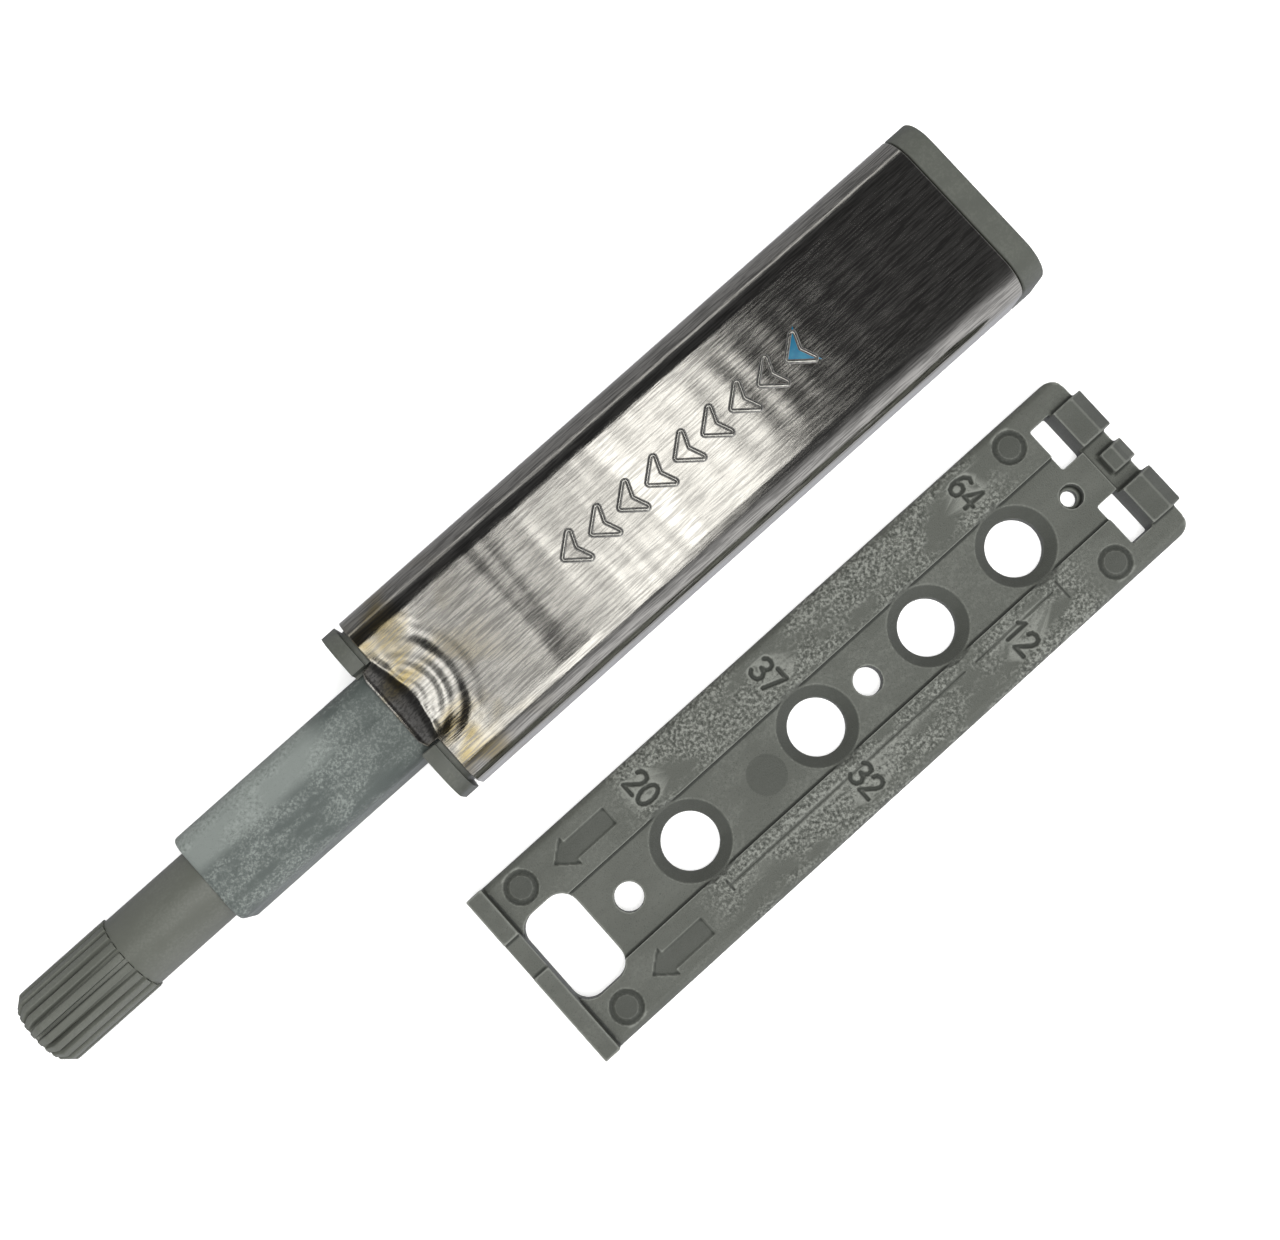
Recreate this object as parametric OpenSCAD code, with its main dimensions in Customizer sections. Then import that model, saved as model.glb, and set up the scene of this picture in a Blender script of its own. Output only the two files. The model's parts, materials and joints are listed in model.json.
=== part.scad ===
// Push-to-open ejector latch for a handleless cabinet door, beside its clip-on mounting plate.
// +X points out of the front, where the plunger leaves the casing. +Z is up. The origin lies on
// the resting surface, under the middle of the whole set.

/* [Casing] */
// Length over the front ears and the rear cap
case_len = 76.2; // [76:0.1:90]
// Width of the casing
case_w = 20.3; // [20:0.1:24]
// Height of the casing
case_h = 13; // [13:0.5:15]
// Radius of the casing's long corners
case_r = 3.5; // [2.5:0.25:3.5]
// Thickness of the steel sheet
sheet_t = 0.7; // [0.5:0.05:0.8]
// Thickness of the front ears
ear_t = 1.6; // [1.4:0.1:2]
// Thickness of the rear cap's flange
cap_t = 2.7; // [2:0.1:2.7]
// Width of the steel tab that folds down over the plunger
tab_w = 9.5; // [8:0.1:10]

/* [Plunger] */
// Width of the flat-sided outer sleeve
sleeve_w = 10.2; // [9.8:0.1:10.4]
// Height of the outer sleeve
sleeve_h = 9.6; // [9.2:0.1:9.8]
// Length of the sleeve that shows in front of the casing
sleeve_out = 23.2; // [20:0.1:26]
// Diameter of the smooth rod
rod_d = 8; // [7.8:0.05:8.2]
// Length of smooth rod that shows in front of the sleeve
rod_out = 10.5; // [8:0.1:14]
// Diameter over the ribs of the tip
tip_d = 8.4; // [8.3:0.05:8.8]
// Length of the ribbed tip
tip_len = 11.4; // [10:0.1:14]
// Number of ribs around the tip
rib_count = 20; // [16:1:24]
// How far the plunger is pushed in
travel = 38; // [30:0.5:38]
// How far the tip screws in
screw_in = 6; // [3:0.5:6]

/* [Cam] */
// Length of the follower between its rivet and its peg
follower_len = 14; // [13.5:0.1:14.5]
// Diameter of the follower's peg
peg_d = 1; // [0.9:0.05:1.1]

/* [Springs] */
// Wire diameter of the ejector spring
spring_wire = 0.7; // [0.5:0.05:0.8]
// Outside diameter of the ejector spring
spring_d = 4.6; // [4.2:0.1:4.6]
// Number of coils of the ejector spring
spring_coils = 32; // [24:1:36]

/* [Mounting plate] */
// Width of the plate
plate_w = 20.6; // [20.4:0.1:22]
// Length from the front edge to the ends of the side arms
plate_len = 78.5; // [78.2:0.1:78.7]
// Height of the two side strips
strip_h = 3; // [2.8:0.1:3.4]
// Height of the floor of the middle channel
channel_h = 2.5; // [2.2:0.1:2.6]
// Height of the front lip
lip_h = 4.8; // [4.5:0.1:5.5]
// Diameter of the four screw holes
screw_hole_d = 5.95; // [5:0.05:6]
// Diameter over the countersinks
sink_d = 8.4; // [8:0.1:8.8]
// Diameter of the two pilot holes
pilot_d = 3; // [2.5:0.1:3.2]
// Clear gap between the casing and the plate as they lie side by side
side_gap = 7.7; // [5:0.1:20]

/* [Hidden] */
$fn = 64;
eps = 0.01;

// places in the shared frame
plunger_out = sleeve_out + rod_out + tip_len;
total_len = case_len + plunger_out;
total_w = case_w + side_gap + plate_w;
case_x = total_len / 2 - plunger_out;
case_y = -total_w / 2 + case_w / 2;
axis_z = case_h / 2;
plate_ahead = 6.4;
plate_x = case_x + plate_ahead;
plate_y = total_w / 2 - plate_w / 2;

// casing and guide, as distances behind the front face
ear_gap = 0.6;
sheet_front = ear_t + ear_gap;
tab_short = 0.4;
tab_drop = 1.15;
tab_clear = 0.3;
notch_deep = 1.1;
notch_overlap = 0.5;
cap_seam = 0.15;
cap_front = case_len - cap_t;
sheet_back = cap_front - cap_seam;
guide_gap = 0.1;
guide_w = case_w - 2 * sheet_t - 2 * guide_gap;
guide_h = case_h - 2 * sheet_t - 2 * guide_gap;
guide_r = case_r - sheet_t;
guide_wall = 1.25;
sheet_seam = 0.3;
front_wall = 7;
bumper_t = 1.2;
bumper_gap = 0.1;

// plunger and carriage
slide_gap = 0.1;
stop_room = 3;
sleeve_r = 1.8;
sleeve_tenon = 3.4;
tenon_d = 6.5;
carriage_front = front_wall + bumper_t + 0.1;
carriage_len = 24;
carriage_w = guide_w - 2 * guide_wall - 2 * slide_gap;
carriage_low = 3.15;
carriage_high = axis_z + sleeve_h / 2 - 0.05;
carriage_h = carriage_high - carriage_low;
ledge_h = carriage_low - slide_gap;
roof_h = carriage_high + slide_gap;
buffer_t = 1.5;
buffer_gap = 0.3;
plug_t = 1.4;
blade_half = 3;
blade_high = 0.8;
blade_deep = 0.5;

// screw and spring
rod_bore_d = rod_d + 0.2;
rod_shoulder = 1.7;
spigot_d = 5;
spigot_len = 5;
stem_d = 6;
stem_bore_d = stem_d + 0.2;
stem_end = -6;
thread_pitch = 1.5;
thread_depth = 0.35;
thread_start = 1;
thread_stop = 1.2;
ring_s = -sleeve_out + 0.85;
ring_d = 0.8;
ring_groove_w = 1.7;
rib_groove_w = 0.5;
rib_groove_deep = 0.4;
tip_chamfer = 1;
tip_chamfer_d = 1.7;
seat_t = 1.5;
seat_d = 5.8;
spring_bore_d = spring_d + 0.4;
spring_front = stem_end + seat_t + 0.1;
spring_back = cap_front - 0.05;
guide_rod_d = 2.6;
guide_rod_front = 43;
guide_rod_in = 1.5;
guide_rod_point = 1;
seat_nose = 2;
stem_bore_end = 2.4;
cup_d = 6.2;
cup_len = 4;
cup_wall = 0.5;
magnet_len = 3.2;

// cam track on the right wing of the carriage
lane_y = 4;
lane_w = peg_d + 0.4;
wing_inner = lane_y - lane_w / 2;
wing_outer = wing_inner + 3.8;
track_depth = 2;
cam_start = 3.6;
cam_w = wing_outer - wing_inner + 0.8;
cam_mid = (wing_inner + wing_outer) / 2;
cam_floor = 0.4;
cam_gap = 0.05;
island_ahead = 2.5;
island_behind = 6.5;
island_point = 1.5;
catch_deep = 0.5;
peg_ahead = 0.9;
cross_pin_y = 3.15;
cross_pin_d = 1;
cross_pin_short = 0.1;
peg_s = 52;
rivet_s = peg_s + follower_len;
follower_t = 0.9;
follower_low = 1.85;
follower_w = 2.4;
follower_boss = 1;
peg_up = 1.9;
pocket_floor = 1.5;
pocket_ahead = 3.5;
pocket_behind = 2.6;
rivet_d = 2;
rivet_head_d = 3.2;
rivet_head_t = 0.25;
leaf_t = 0.15;
leaf_w = 1.6;
leaf_foot = 3;
leaf_reach = 5;
leaf_rise = 0.12;

// plate features, as distances behind the front edge
strip_in = 4.25;
row_32 = 32;
row_front = 20;
row_setback = 37;
row_back = row_front + row_32 + 12;
pilot_front = 11.8;
pin_hole_u = 71.6;
plate_pin_d = 1.7;
plate_pin_sink_d = 2.5;
plate_pin_sink_z = 1.2;
window_r = 2;
window_u = [1.5, 7.75];
window_half = 5.2;
edge_r = 1;
lip_u = [-0.4, 1.5];
lip_dip_v = [-4.6, -0.3];
lip_dip = 0.3;
rear_window_u = [72.8, 75.5];
arm_in = 7.6;
arm_r = 1.5;
tongue_half = 2.5;
bar_back = 78.8;
bar_h = 1.8;
hook_half = [2.8, 7.4];
hook_h = 4.6;
middle_w = 2.4;
middle_h = 3.6;
middle_setback = 0.9;
block_foot = 0.2;
block_rise = 0.4;
block_ridge = 77.8;
block_back = 79.4;
block_drop = 1.3;
mark_deep = 0.2;
mark_u = [4.5, 70.2];
mark_v = 7.8;
mark_d = [3.6, 2.4];
arrow_v = 7.25;
arrow_u = [8.3, 10.6, 15.8];
arrow_head_half = 1.9;
arrow_shaft_half = 1.1;
disc_at = [30, 0.2];
disc_d = [4.2, 3.9];
disc_deep = 0.1;

// ---------- helpers ----------

// moves children to the plunger axis, with +X still forward and x = -s for a depth s
module on_axis() {
    translate([case_x, case_y, axis_z]) children();
}

// round bar on the plunger axis between two depths
module bar(s0, s1, d) {
    translate([-s1, 0, 0]) rotate([0, 90, 0]) cylinder(d = d, h = s1 - s0);
}

// rounded rectangle in the YZ plane between two depths
module profile_bar(s0, s1, w, h, r) {
    translate([-s1, 0, 0])
        rotate([90, 0, 90])
            linear_extrude(height = s1 - s0) rounded_rect(w, h, r);
}

// box between two depths, by its y and z limits measured from the resting surface
module slot_box(s0, s1, y0, y1, z0, z1) {
    translate([-s1, y0, z0 - axis_z]) cube([s1 - s0, y1 - y0, z1 - z0]);
}

module rounded_rect(w, h, r) {
    union() {
        square([w - 2 * r, h], center = true);
        square([w, h - 2 * r], center = true);
        for (sx = [-1, 1], sy = [-1, 1])
            translate([sx * (w / 2 - r), sy * (h / 2 - r)]) circle(r = r);
    }
}

// moves children to the plate's front edge, with x = -u for a distance u behind it
module on_plate() {
    translate([plate_x, plate_y, 0]) children();
}

// box on the plate between two distances behind its front edge
module plate_box(u0, u1, v0, v1, z0, z1) {
    translate([-u1, v0, z0]) cube([u1 - u0, v1 - v0, z1 - z0]);
}

// ---------- casing ----------

// bent steel tube with a butt seam underneath and a tab folded down over the plunger
module steel_casing() {
    color("silver") on_axis() {
        difference() {
            profile_bar(sheet_front, sheet_back, case_w, case_h, case_r);
            profile_bar(sheet_front - 1, sheet_back + 1, case_w - 2 * sheet_t,
                        case_h - 2 * sheet_t, case_r - sheet_t);
            slot_box(sheet_front - 1, sheet_back + 1, -sheet_seam / 2, sheet_seam / 2,
                     -1, sheet_t + 0.5);
        }
        folded_tab();
    }
}

// the tab runs forward and down, and stops just over the sleeve
module folded_tab() {
    top = case_h / 2;
    low = top - tab_drop;
    reach = sheet_front - tab_short;
    bend = [0.35, 0.08];
    edge = [0.3, 0.42];
    bend_inside = 0.1;
    translate([-sheet_front - eps, tab_w / 2, 0])
        rotate([90, 0, 0])
            linear_extrude(height = tab_w)
                polygon([
                    [0, top], [bend[0], top - bend[1]], [reach, low],
                    [reach - edge[0], low - edge[1]], [bend_inside, top - sheet_t],
                    [0, top - sheet_t]
                ]);
}

// moulded tube that carries everything inside, with the two ears at its front
module guide_body() {
    color("dimgray") on_axis() {
        difference() {
            union() {
                profile_bar(0, ear_t, case_w, case_h, case_r);
                profile_bar(ear_t - eps, cap_front - 0.1, guide_w, guide_h, guide_r);
            }
            // passage for the sleeve, through the front wall and back to its deepest place
            profile_bar(-1, front_wall + travel + stop_room, sleeve_w + 2 * slide_gap,
                        sleeve_h + 2 * slide_gap, sleeve_r);
            // room for the carriage on its two ledges
            slot_box(front_wall, case_len, -carriage_w / 2 - slide_gap,
                     carriage_w / 2 + slide_gap, ledge_h, roof_h);
            // notch between the ears for the steel tab
            slot_box(-1, ear_t + notch_deep, -tab_w / 2 - tab_clear, tab_w / 2 + tab_clear,
                     axis_z + sleeve_h / 2 - notch_overlap, case_h + 1);
            follower_pocket();
            // hole for the follower's rivet
            translate([-rivet_s, lane_y, -axis_z]) cylinder(d = rivet_d, h = axis_z);
        }
    }
}

module follower_pocket() {
    slot_box(peg_s - pocket_ahead, rivet_s + pocket_behind, lane_y - rivet_d,
             carriage_w / 2 + slide_gap, pocket_floor, ledge_h + eps);
}

// moulded cap that closes the back of the tube
module rear_cap() {
    color("dimgray") on_axis()
        difference() {
            union() {
                profile_bar(cap_front, case_len, case_w, case_h, case_r);
                slot_box(cap_front - plug_t, cap_front + eps, -carriage_w / 2, carriage_w / 2,
                         carriage_low, carriage_high);
            }
            bar(cap_front - plug_t - 1, cap_front, spring_bore_d);
            bar(cap_front - eps, cap_front + guide_rod_in + 0.1, guide_rod_d);
            // relief groove along the lower edge, for a blade
            slot_box(case_len - blade_deep, case_len + 1, -blade_half, blade_half, -1,
                     blade_high);
        }
}

// two soft pads beside the sleeve, which the carriage meets when the plunger springs out
module front_bumpers() {
    color("black") on_axis()
        difference() {
            slot_box(front_wall, front_wall + bumper_t, -carriage_w / 2 + bumper_gap,
                     carriage_w / 2 - bumper_gap, carriage_low, carriage_high);
            profile_bar(0, case_len, sleeve_w + 3 * bumper_gap, sleeve_h + 3 * bumper_gap,
                        sleeve_r);
        }
}

// soft pad that the carriage meets when the plunger is pushed right in
module rear_buffer() {
    color("black") on_axis()
        difference() {
            slot_box(cap_front - plug_t - buffer_t, cap_front - plug_t,
                     -carriage_w / 2 + buffer_gap, carriage_w / 2 - buffer_gap,
                     carriage_low + buffer_gap, carriage_high - buffer_gap);
            bar(0, case_len, spring_bore_d + 0.4);
        }
}

// steel wire that keeps the long spring from buckling
module spring_guide_rod() {
    color("silver") on_axis() {
        bar(guide_rod_front + guide_rod_point, cap_front + guide_rod_in, guide_rod_d);
        translate([-guide_rod_front - guide_rod_point, 0, 0]) rotate([0, 90, 0])
            cylinder(d1 = guide_rod_d, d2 = guide_rod_d - 1.2, h = guide_rod_point);
    }
}

// ---------- plunger ----------

// flat-sided outer sleeve: stepped bore in front, tenon for the carriage behind
module plunger_sleeve() {
    color("slategray") on_axis()
        difference() {
            union() {
                profile_bar(-sleeve_out, carriage_front, sleeve_w, sleeve_h, sleeve_r);
                bar(carriage_front - eps, carriage_front + sleeve_tenon, tenon_d);
            }
            bar(-sleeve_out - 1, -sleeve_out + rod_shoulder + screw_in + 0.5, rod_bore_d);
            bar(-sleeve_out, stem_bore_end, stem_bore_d);
            bar(stem_bore_end - 0.4, carriage_front + sleeve_tenon + 1, spring_bore_d);
            pin_hole();
        }
}

// cross hole for the pin through carriage and tenon
module pin_hole() {
    translate([-carriage_front - sleeve_tenon / 2, cross_pin_y, -carriage_h])
        cylinder(d = cross_pin_d, h = 2 * carriage_h);
}

// wide sliding block behind the sleeve, hollow for the spring
module cam_carriage() {
    color("gainsboro") on_axis()
        difference() {
            slot_box(carriage_front, carriage_front + carriage_len, -carriage_w / 2,
                     carriage_w / 2, carriage_low, carriage_high);
            bar(0, carriage_front + sleeve_tenon + 0.1, tenon_d);
            bar(0, case_len, spring_bore_d);
            pin_hole();
            cam_recess();
        }
}

// steel pin that locks the carriage to the sleeve
module carriage_pin() {
    color("silver") on_axis()
        translate([-carriage_front - sleeve_tenon / 2, cross_pin_y,
                   carriage_low - axis_z + cross_pin_short])
            cylinder(d = cross_pin_d, h = carriage_h - 2 * cross_pin_short);
}

// pocket for the heart cam, open at the back and underneath
module cam_recess() {
    slot_box(carriage_front + cam_start - cam_gap, carriage_front + carriage_len + 1,
             cam_mid - cam_w / 2 - cam_gap, cam_mid + cam_w / 2 + cam_gap,
             carriage_low - 1, carriage_low + track_depth + cam_floor + cam_gap);
}

// hard insert with the two lanes, the island between them and the catch on its front
module heart_cam() {
    depth_of_peg = peg_s - travel - carriage_front;
    island_front = depth_of_peg + island_ahead;
    island_back = carriage_len - island_behind;
    lane_gap = wing_outer - wing_inner - 2 * lane_w;
    color("whitesmoke") on_axis()
        difference() {
            slot_box(carriage_front + cam_start, carriage_front + carriage_len,
                     cam_mid - cam_w / 2, cam_mid + cam_w / 2,
                     carriage_low, carriage_low + track_depth + cam_floor);
            difference() {
                slot_box(carriage_front + depth_of_peg - peg_ahead,
                         carriage_front + carriage_len + 1, wing_inner, wing_outer,
                         carriage_low - 1, carriage_low + track_depth);
                translate([-carriage_front, cam_mid, carriage_low - axis_z - 2])
                    linear_extrude(height = track_depth + 3)
                        polygon([
                            [-island_front, lane_gap / 2], [-island_front - catch_deep, 0],
                            [-island_front, -lane_gap / 2],
                            [-island_back + island_point, -lane_gap / 2], [-island_back, 0],
                            [-island_back + island_point, lane_gap / 2]
                        ]);
            }
            // trims the island level with the insert's face
            slot_box(carriage_front - 1, carriage_front + carriage_len + 2, cam_mid - cam_w,
                     cam_mid + cam_w, carriage_low - 3, carriage_low);
        }
}

// ---------- screw-in rod and tip ----------

// thrust piece between the spring and the turning stem; it doesn't turn
module spring_seat() {
    color("whitesmoke") on_axis() {
        bar(stem_end + 0.05, stem_end + seat_t, seat_d);
        bar(stem_end + seat_t - eps, stem_end + seat_t + seat_nose, guide_rod_d);
    }
}

// smooth rod with a threaded stem behind it and a spigot for the ribbed tip in front
module threaded_rod() {
    rod_front = -sleeve_out - rod_out;
    shoulder = -sleeve_out + rod_shoulder;
    stem_core = stem_d - 2 * thread_depth;
    color("slategray") on_axis()
        difference() {
            union() {
                bar(rod_front - spigot_len, rod_front + eps, spigot_d);
                bar(rod_front, shoulder, rod_d);
                bar(shoulder - eps, stem_end, stem_core);
                for (s = [shoulder + thread_start : thread_pitch : stem_end - thread_stop])
                    thread_ring(s, stem_core);
            }
            // groove for the friction ring
            ring_groove();
        }
}

// one ridge of the thread around the stem's core
module thread_ring(s, core) {
    root_r = core / 2 - 0.1;
    flank = 0.3;
    translate([-s, 0, 0]) rotate([0, -90, 0])
        rotate_extrude()
            polygon([
                [root_r, 0], [stem_d / 2, flank], [stem_d / 2, 2 * flank], [root_r, 3 * flank]
            ]);
}

module ring_groove() {
    translate([-ring_s, 0, 0]) rotate([0, 90, 0])
        rotate_extrude() translate([rod_d / 2, 0]) square([ring_groove_w, 1], center = true);
}

// rubber ring that keeps the tip from turning by itself
module rod_friction_ring() {
    color("black") on_axis()
        translate([-ring_s, 0, 0]) rotate([0, 90, 0])
            rotate_extrude()
                translate([rod_d / 2 - ring_d / 2, 0]) circle(d = ring_d, $fn = 32);
}

// ribbed tip, turned by hand to set how far it reaches
module ribbed_tip() {
    front = -plunger_out;
    back = -sleeve_out - rod_out;
    color("dimgray") on_axis()
        difference() {
            union() {
                bar(front + tip_chamfer, back, tip_d);
                translate([-front - tip_chamfer, 0, 0]) rotate([0, 90, 0])
                    cylinder(d1 = tip_d, d2 = tip_d - tip_chamfer_d, h = tip_chamfer);
            }
            bar(back - spigot_len - 0.2, back + 1, spigot_d + 0.05);
            bar(front - 1, front + cup_len + 0.2, cup_d + 0.02);
            for (i = [0 : rib_count - 1])
                rotate([i * 360 / rib_count, 0, 0])
                    translate([-back - eps, -rib_groove_w / 2, tip_d / 2 - rib_groove_deep])
                        cube([tip_len + 1, rib_groove_w, 1]);
        }
}

// steel pot around the magnet
module magnet_cup() {
    front = -plunger_out + 0.15;
    color("silver") on_axis()
        difference() {
            bar(front, front + cup_len, cup_d);
            bar(front - 1, front + cup_len - 0.6, cup_d - 2 * cup_wall);
        }
}

module tip_magnet() {
    front = -plunger_out + 0.1;
    color("darkgray") on_axis() bar(front, front + magnet_len, cup_d - 2 * cup_wall - 0.1);
}

// ---------- springs and follower ----------

// coil spring swept along a helix between the seat and the rear cap
module ejector_spring() {
    sides = 5;
    steps = 8;
    turns = spring_coils;
    rings = turns * steps;
    helix_r = (spring_d - spring_wire) / 2;
    span = spring_back - spring_front - spring_wire;
    function spot(i, k) =
        let (
            turn = 360 * i / steps,
            tube = 360 * k / sides,
            r = helix_r + spring_wire / 2 * cos(tube),
            along = spring_front + spring_wire / 2 + span * i / rings
                + spring_wire / 2 * sin(tube)
        ) [-along, r * cos(turn), r * sin(turn)];
    points = [for (i = [0 : rings], k = [0 : sides - 1]) spot(i, k)];
    function corner(i, k) = i * sides + k % sides;
    side_faces = [
        for (i = [0 : rings - 1], k = [0 : sides - 1], half = [0, 1])
            half == 0
                ? [corner(i, k), corner(i, k + 1), corner(i + 1, k + 1)]
                : [corner(i, k), corner(i + 1, k + 1), corner(i + 1, k)]
    ];
    first_face = [for (k = [sides - 1 : -1 : 0]) k];
    last_face = [for (k = [0 : sides - 1]) rings * sides + k];
    color("silver") on_axis()
        polyhedron(points = points, faces = concat(side_faces, [first_face, last_face]));
}

// flat lever with a peg that runs in the heart cam
module cam_follower() {
    color("silver") on_axis()
        translate([-rivet_s, lane_y, follower_low - axis_z]) {
            difference() {
                union() {
                    translate([0, -follower_w / 2, 0])
                        cube([follower_len, follower_w, follower_t]);
                    cylinder(d = follower_w + follower_boss, h = follower_t);
                    translate([follower_len, 0, 0]) cylinder(d = follower_w, h = follower_t);
                }
                translate([0, 0, -1]) cylinder(d = rivet_d + 0.1, h = follower_t + 2);
            }
            translate([follower_len, 0, 0]) cylinder(d = peg_d, h = follower_t + peg_up);
        }
}

module follower_rivet() {
    color("silver") on_axis()
        translate([-rivet_s, lane_y, -axis_z]) {
            translate([0, 0, sheet_t + guide_gap])
                cylinder(d = rivet_d, h = follower_low + follower_t + 0.1 - sheet_t - guide_gap);
            translate([0, 0, follower_low + follower_t + 0.05])
                cylinder(d = rivet_head_d, h = rivet_head_t);
        }
}

// thin leaf that lifts the follower's peg into the track
module follower_leaf_spring() {
    color("silver") on_axis()
        translate([-rivet_s + pocket_behind, lane_y - leaf_w / 2, pocket_floor - axis_z]) {
            cube([leaf_foot, leaf_w, leaf_t]);
            translate([leaf_foot - eps, leaf_w, 0])
                rotate([90, 0, 0])
                    linear_extrude(height = leaf_w)
                        polygon([
                            [0, 0], [leaf_reach, leaf_rise], [leaf_reach, leaf_rise + leaf_t],
                            [0, leaf_t]
                        ]);
        }
}

// ---------- mounting plate ----------

module mounting_plate() {
    color("dimgray") on_plate()
        difference() {
            union() {
                plate_blank();
                front_lip();
                rear_hooks();
            }
            plate_openings();
            plate_marks();
        }
}

// cross-section of the slab, with its upper long edges rounded
module slab_section(half) {
    union() {
        translate([-half, 0]) square([2 * half, strip_h - edge_r]);
        translate([-half + edge_r, 0]) square([2 * (half - edge_r), strip_h]);
        for (side = [-1, 1])
            translate([side * (half - edge_r), strip_h - edge_r]) circle(r = edge_r);
    }
}

// slab with a sunk middle channel, two side arms and a tongue behind
module plate_blank() {
    half = plate_w / 2;
    difference() {
        intersection() {
            translate([-plate_len, 0, 0]) rotate([90, 0, 90])
                linear_extrude(height = plate_len) slab_section(half);
            linear_extrude(height = strip_h) plate_outline(half);
        }
        plate_box(lip_u[1], rear_window_u[1] + 0.1, -strip_in, strip_in, channel_h, strip_h + 1);
        plate_box(rear_window_u[1], plate_len + 1, -arm_in, arm_in, bar_h, strip_h + 1);
    }
    plate_box(rear_window_u[1], bar_back, -arm_in - eps, arm_in + eps, 0, bar_h);
}

// outline of the slab: rounded rear corners, and the two windows behind
module plate_outline(half) {
    difference() {
        union() {
            translate([-plate_len + arm_r, -half]) square([plate_len - arm_r, 2 * half]);
            translate([-plate_len, -half + arm_r]) square([plate_len, 2 * (half - arm_r)]);
            for (side = [-1, 1])
                translate([-plate_len + arm_r, side * (half - arm_r)]) circle(r = arm_r);
        }
        for (side = [-1, 1])
            translate([-(rear_window_u[0] + rear_window_u[1]) / 2, side * (arm_in + tongue_half) / 2])
                square([rear_window_u[1] - rear_window_u[0], arm_in - tongue_half], center = true);
    }
}

// raised bar along the front edge, with a slightly lower stretch
module front_lip() {
    half = plate_w / 2;
    difference() {
        plate_box(lip_u[0], lip_u[1], -half, half, 0, lip_h);
        plate_box(lip_u[0] - 1, lip_u[1] + 1, lip_dip_v[0], lip_dip_v[1], lip_h - lip_dip,
                  lip_h + 1);
    }
}

// two ramped hook blocks and the small block between them
module rear_hooks() {
    for (side = [-1, 1])
        rear_block(side * (hook_half[0] + hook_half[1]) / 2, hook_half[1] - hook_half[0],
                   hook_h, rear_window_u[1]);
    rear_block(0, middle_w, middle_h, rear_window_u[1] + middle_setback);
}

// block whose top rises to a ridge near its back and then slopes away
module rear_block(v, w, ridge, front) {
    translate([0, v + w / 2, 0])
        rotate([90, 0, 0])
            linear_extrude(height = w)
                polygon([
                    [-front, block_foot], [-front, ridge - block_rise], [-block_ridge, ridge],
                    [-block_back, ridge - block_drop], [-block_back, block_foot]
                ]);
}

module plate_openings() {
    for (u = [row_front, row_setback, row_front + row_32, row_back])
        screw_hole(u);
    for (u = [pilot_front, pilot_front + row_32])
        translate([-u, 0, -1]) cylinder(d = pilot_d, h = lip_h);
    translate([-pin_hole_u, 0, -1]) cylinder(d = plate_pin_d, h = lip_h);
    translate([-pin_hole_u, 0, plate_pin_sink_z]) cylinder(d = plate_pin_sink_d, h = lip_h);
    // front window
    translate([-(window_u[0] + window_u[1]) / 2, 0, -1])
        linear_extrude(height = channel_h + 2)
            rounded_rect(window_u[1] - window_u[0], 2 * window_half, window_r);
}

// through hole with a 90 degree countersink that reaches the strips
module screw_hole(u) {
    sink_deep = (sink_d - screw_hole_d) / 2;
    translate([-u, 0, -1]) cylinder(d = screw_hole_d, h = lip_h);
    translate([-u, 0, channel_h - sink_deep])
        cylinder(d1 = screw_hole_d, d2 = screw_hole_d + 4 * sink_deep, h = 2 * sink_deep);
}

// shallow moulded marks: ejector rings, arrows to the front and the dimension lines
module plate_marks() {
    for (u = mark_u, side = [-1, 1])
        translate([-u, side * mark_v, strip_h - mark_deep]) flat_ring(mark_d[0], mark_d[1]);
    for (side = [-1, 1])
        translate([0, side * arrow_v, strip_h - mark_deep])
            linear_extrude(height = 1)
                polygon([
                    [-arrow_u[0], 0], [-arrow_u[1], arrow_head_half],
                    [-arrow_u[1], arrow_shaft_half], [-arrow_u[2], arrow_shaft_half],
                    [-arrow_u[2], -arrow_shaft_half], [-arrow_u[1], -arrow_shaft_half],
                    [-arrow_u[1], -arrow_head_half]
                ]);
    translate([-disc_at[0], disc_at[1], channel_h - disc_deep]) flat_ring(disc_d[0], disc_d[1]);
}

module flat_ring(outer_d, inner_d) {
    difference() {
        cylinder(d = outer_d, h = 1);
        translate([0, 0, -1]) cylinder(d = inner_d, h = 3);
    }
}

steel_casing();
guide_body();
rear_cap();
front_bumpers();
rear_buffer();
spring_guide_rod();
follower_rivet();
follower_leaf_spring();
plunger_sleeve();
cam_carriage();
carriage_pin();
heart_cam();
spring_seat();
threaded_rod();
rod_friction_ring();
ribbed_tip();
magnet_cup();
tip_magnet();
ejector_spring();
cam_follower();
mounting_plate();
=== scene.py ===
import json
from math import atan2, cos, floor, hypot, pi, radians, sin

import bmesh
import bpy
import numpy as np
from mathutils import Matrix, Vector, noise


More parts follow.
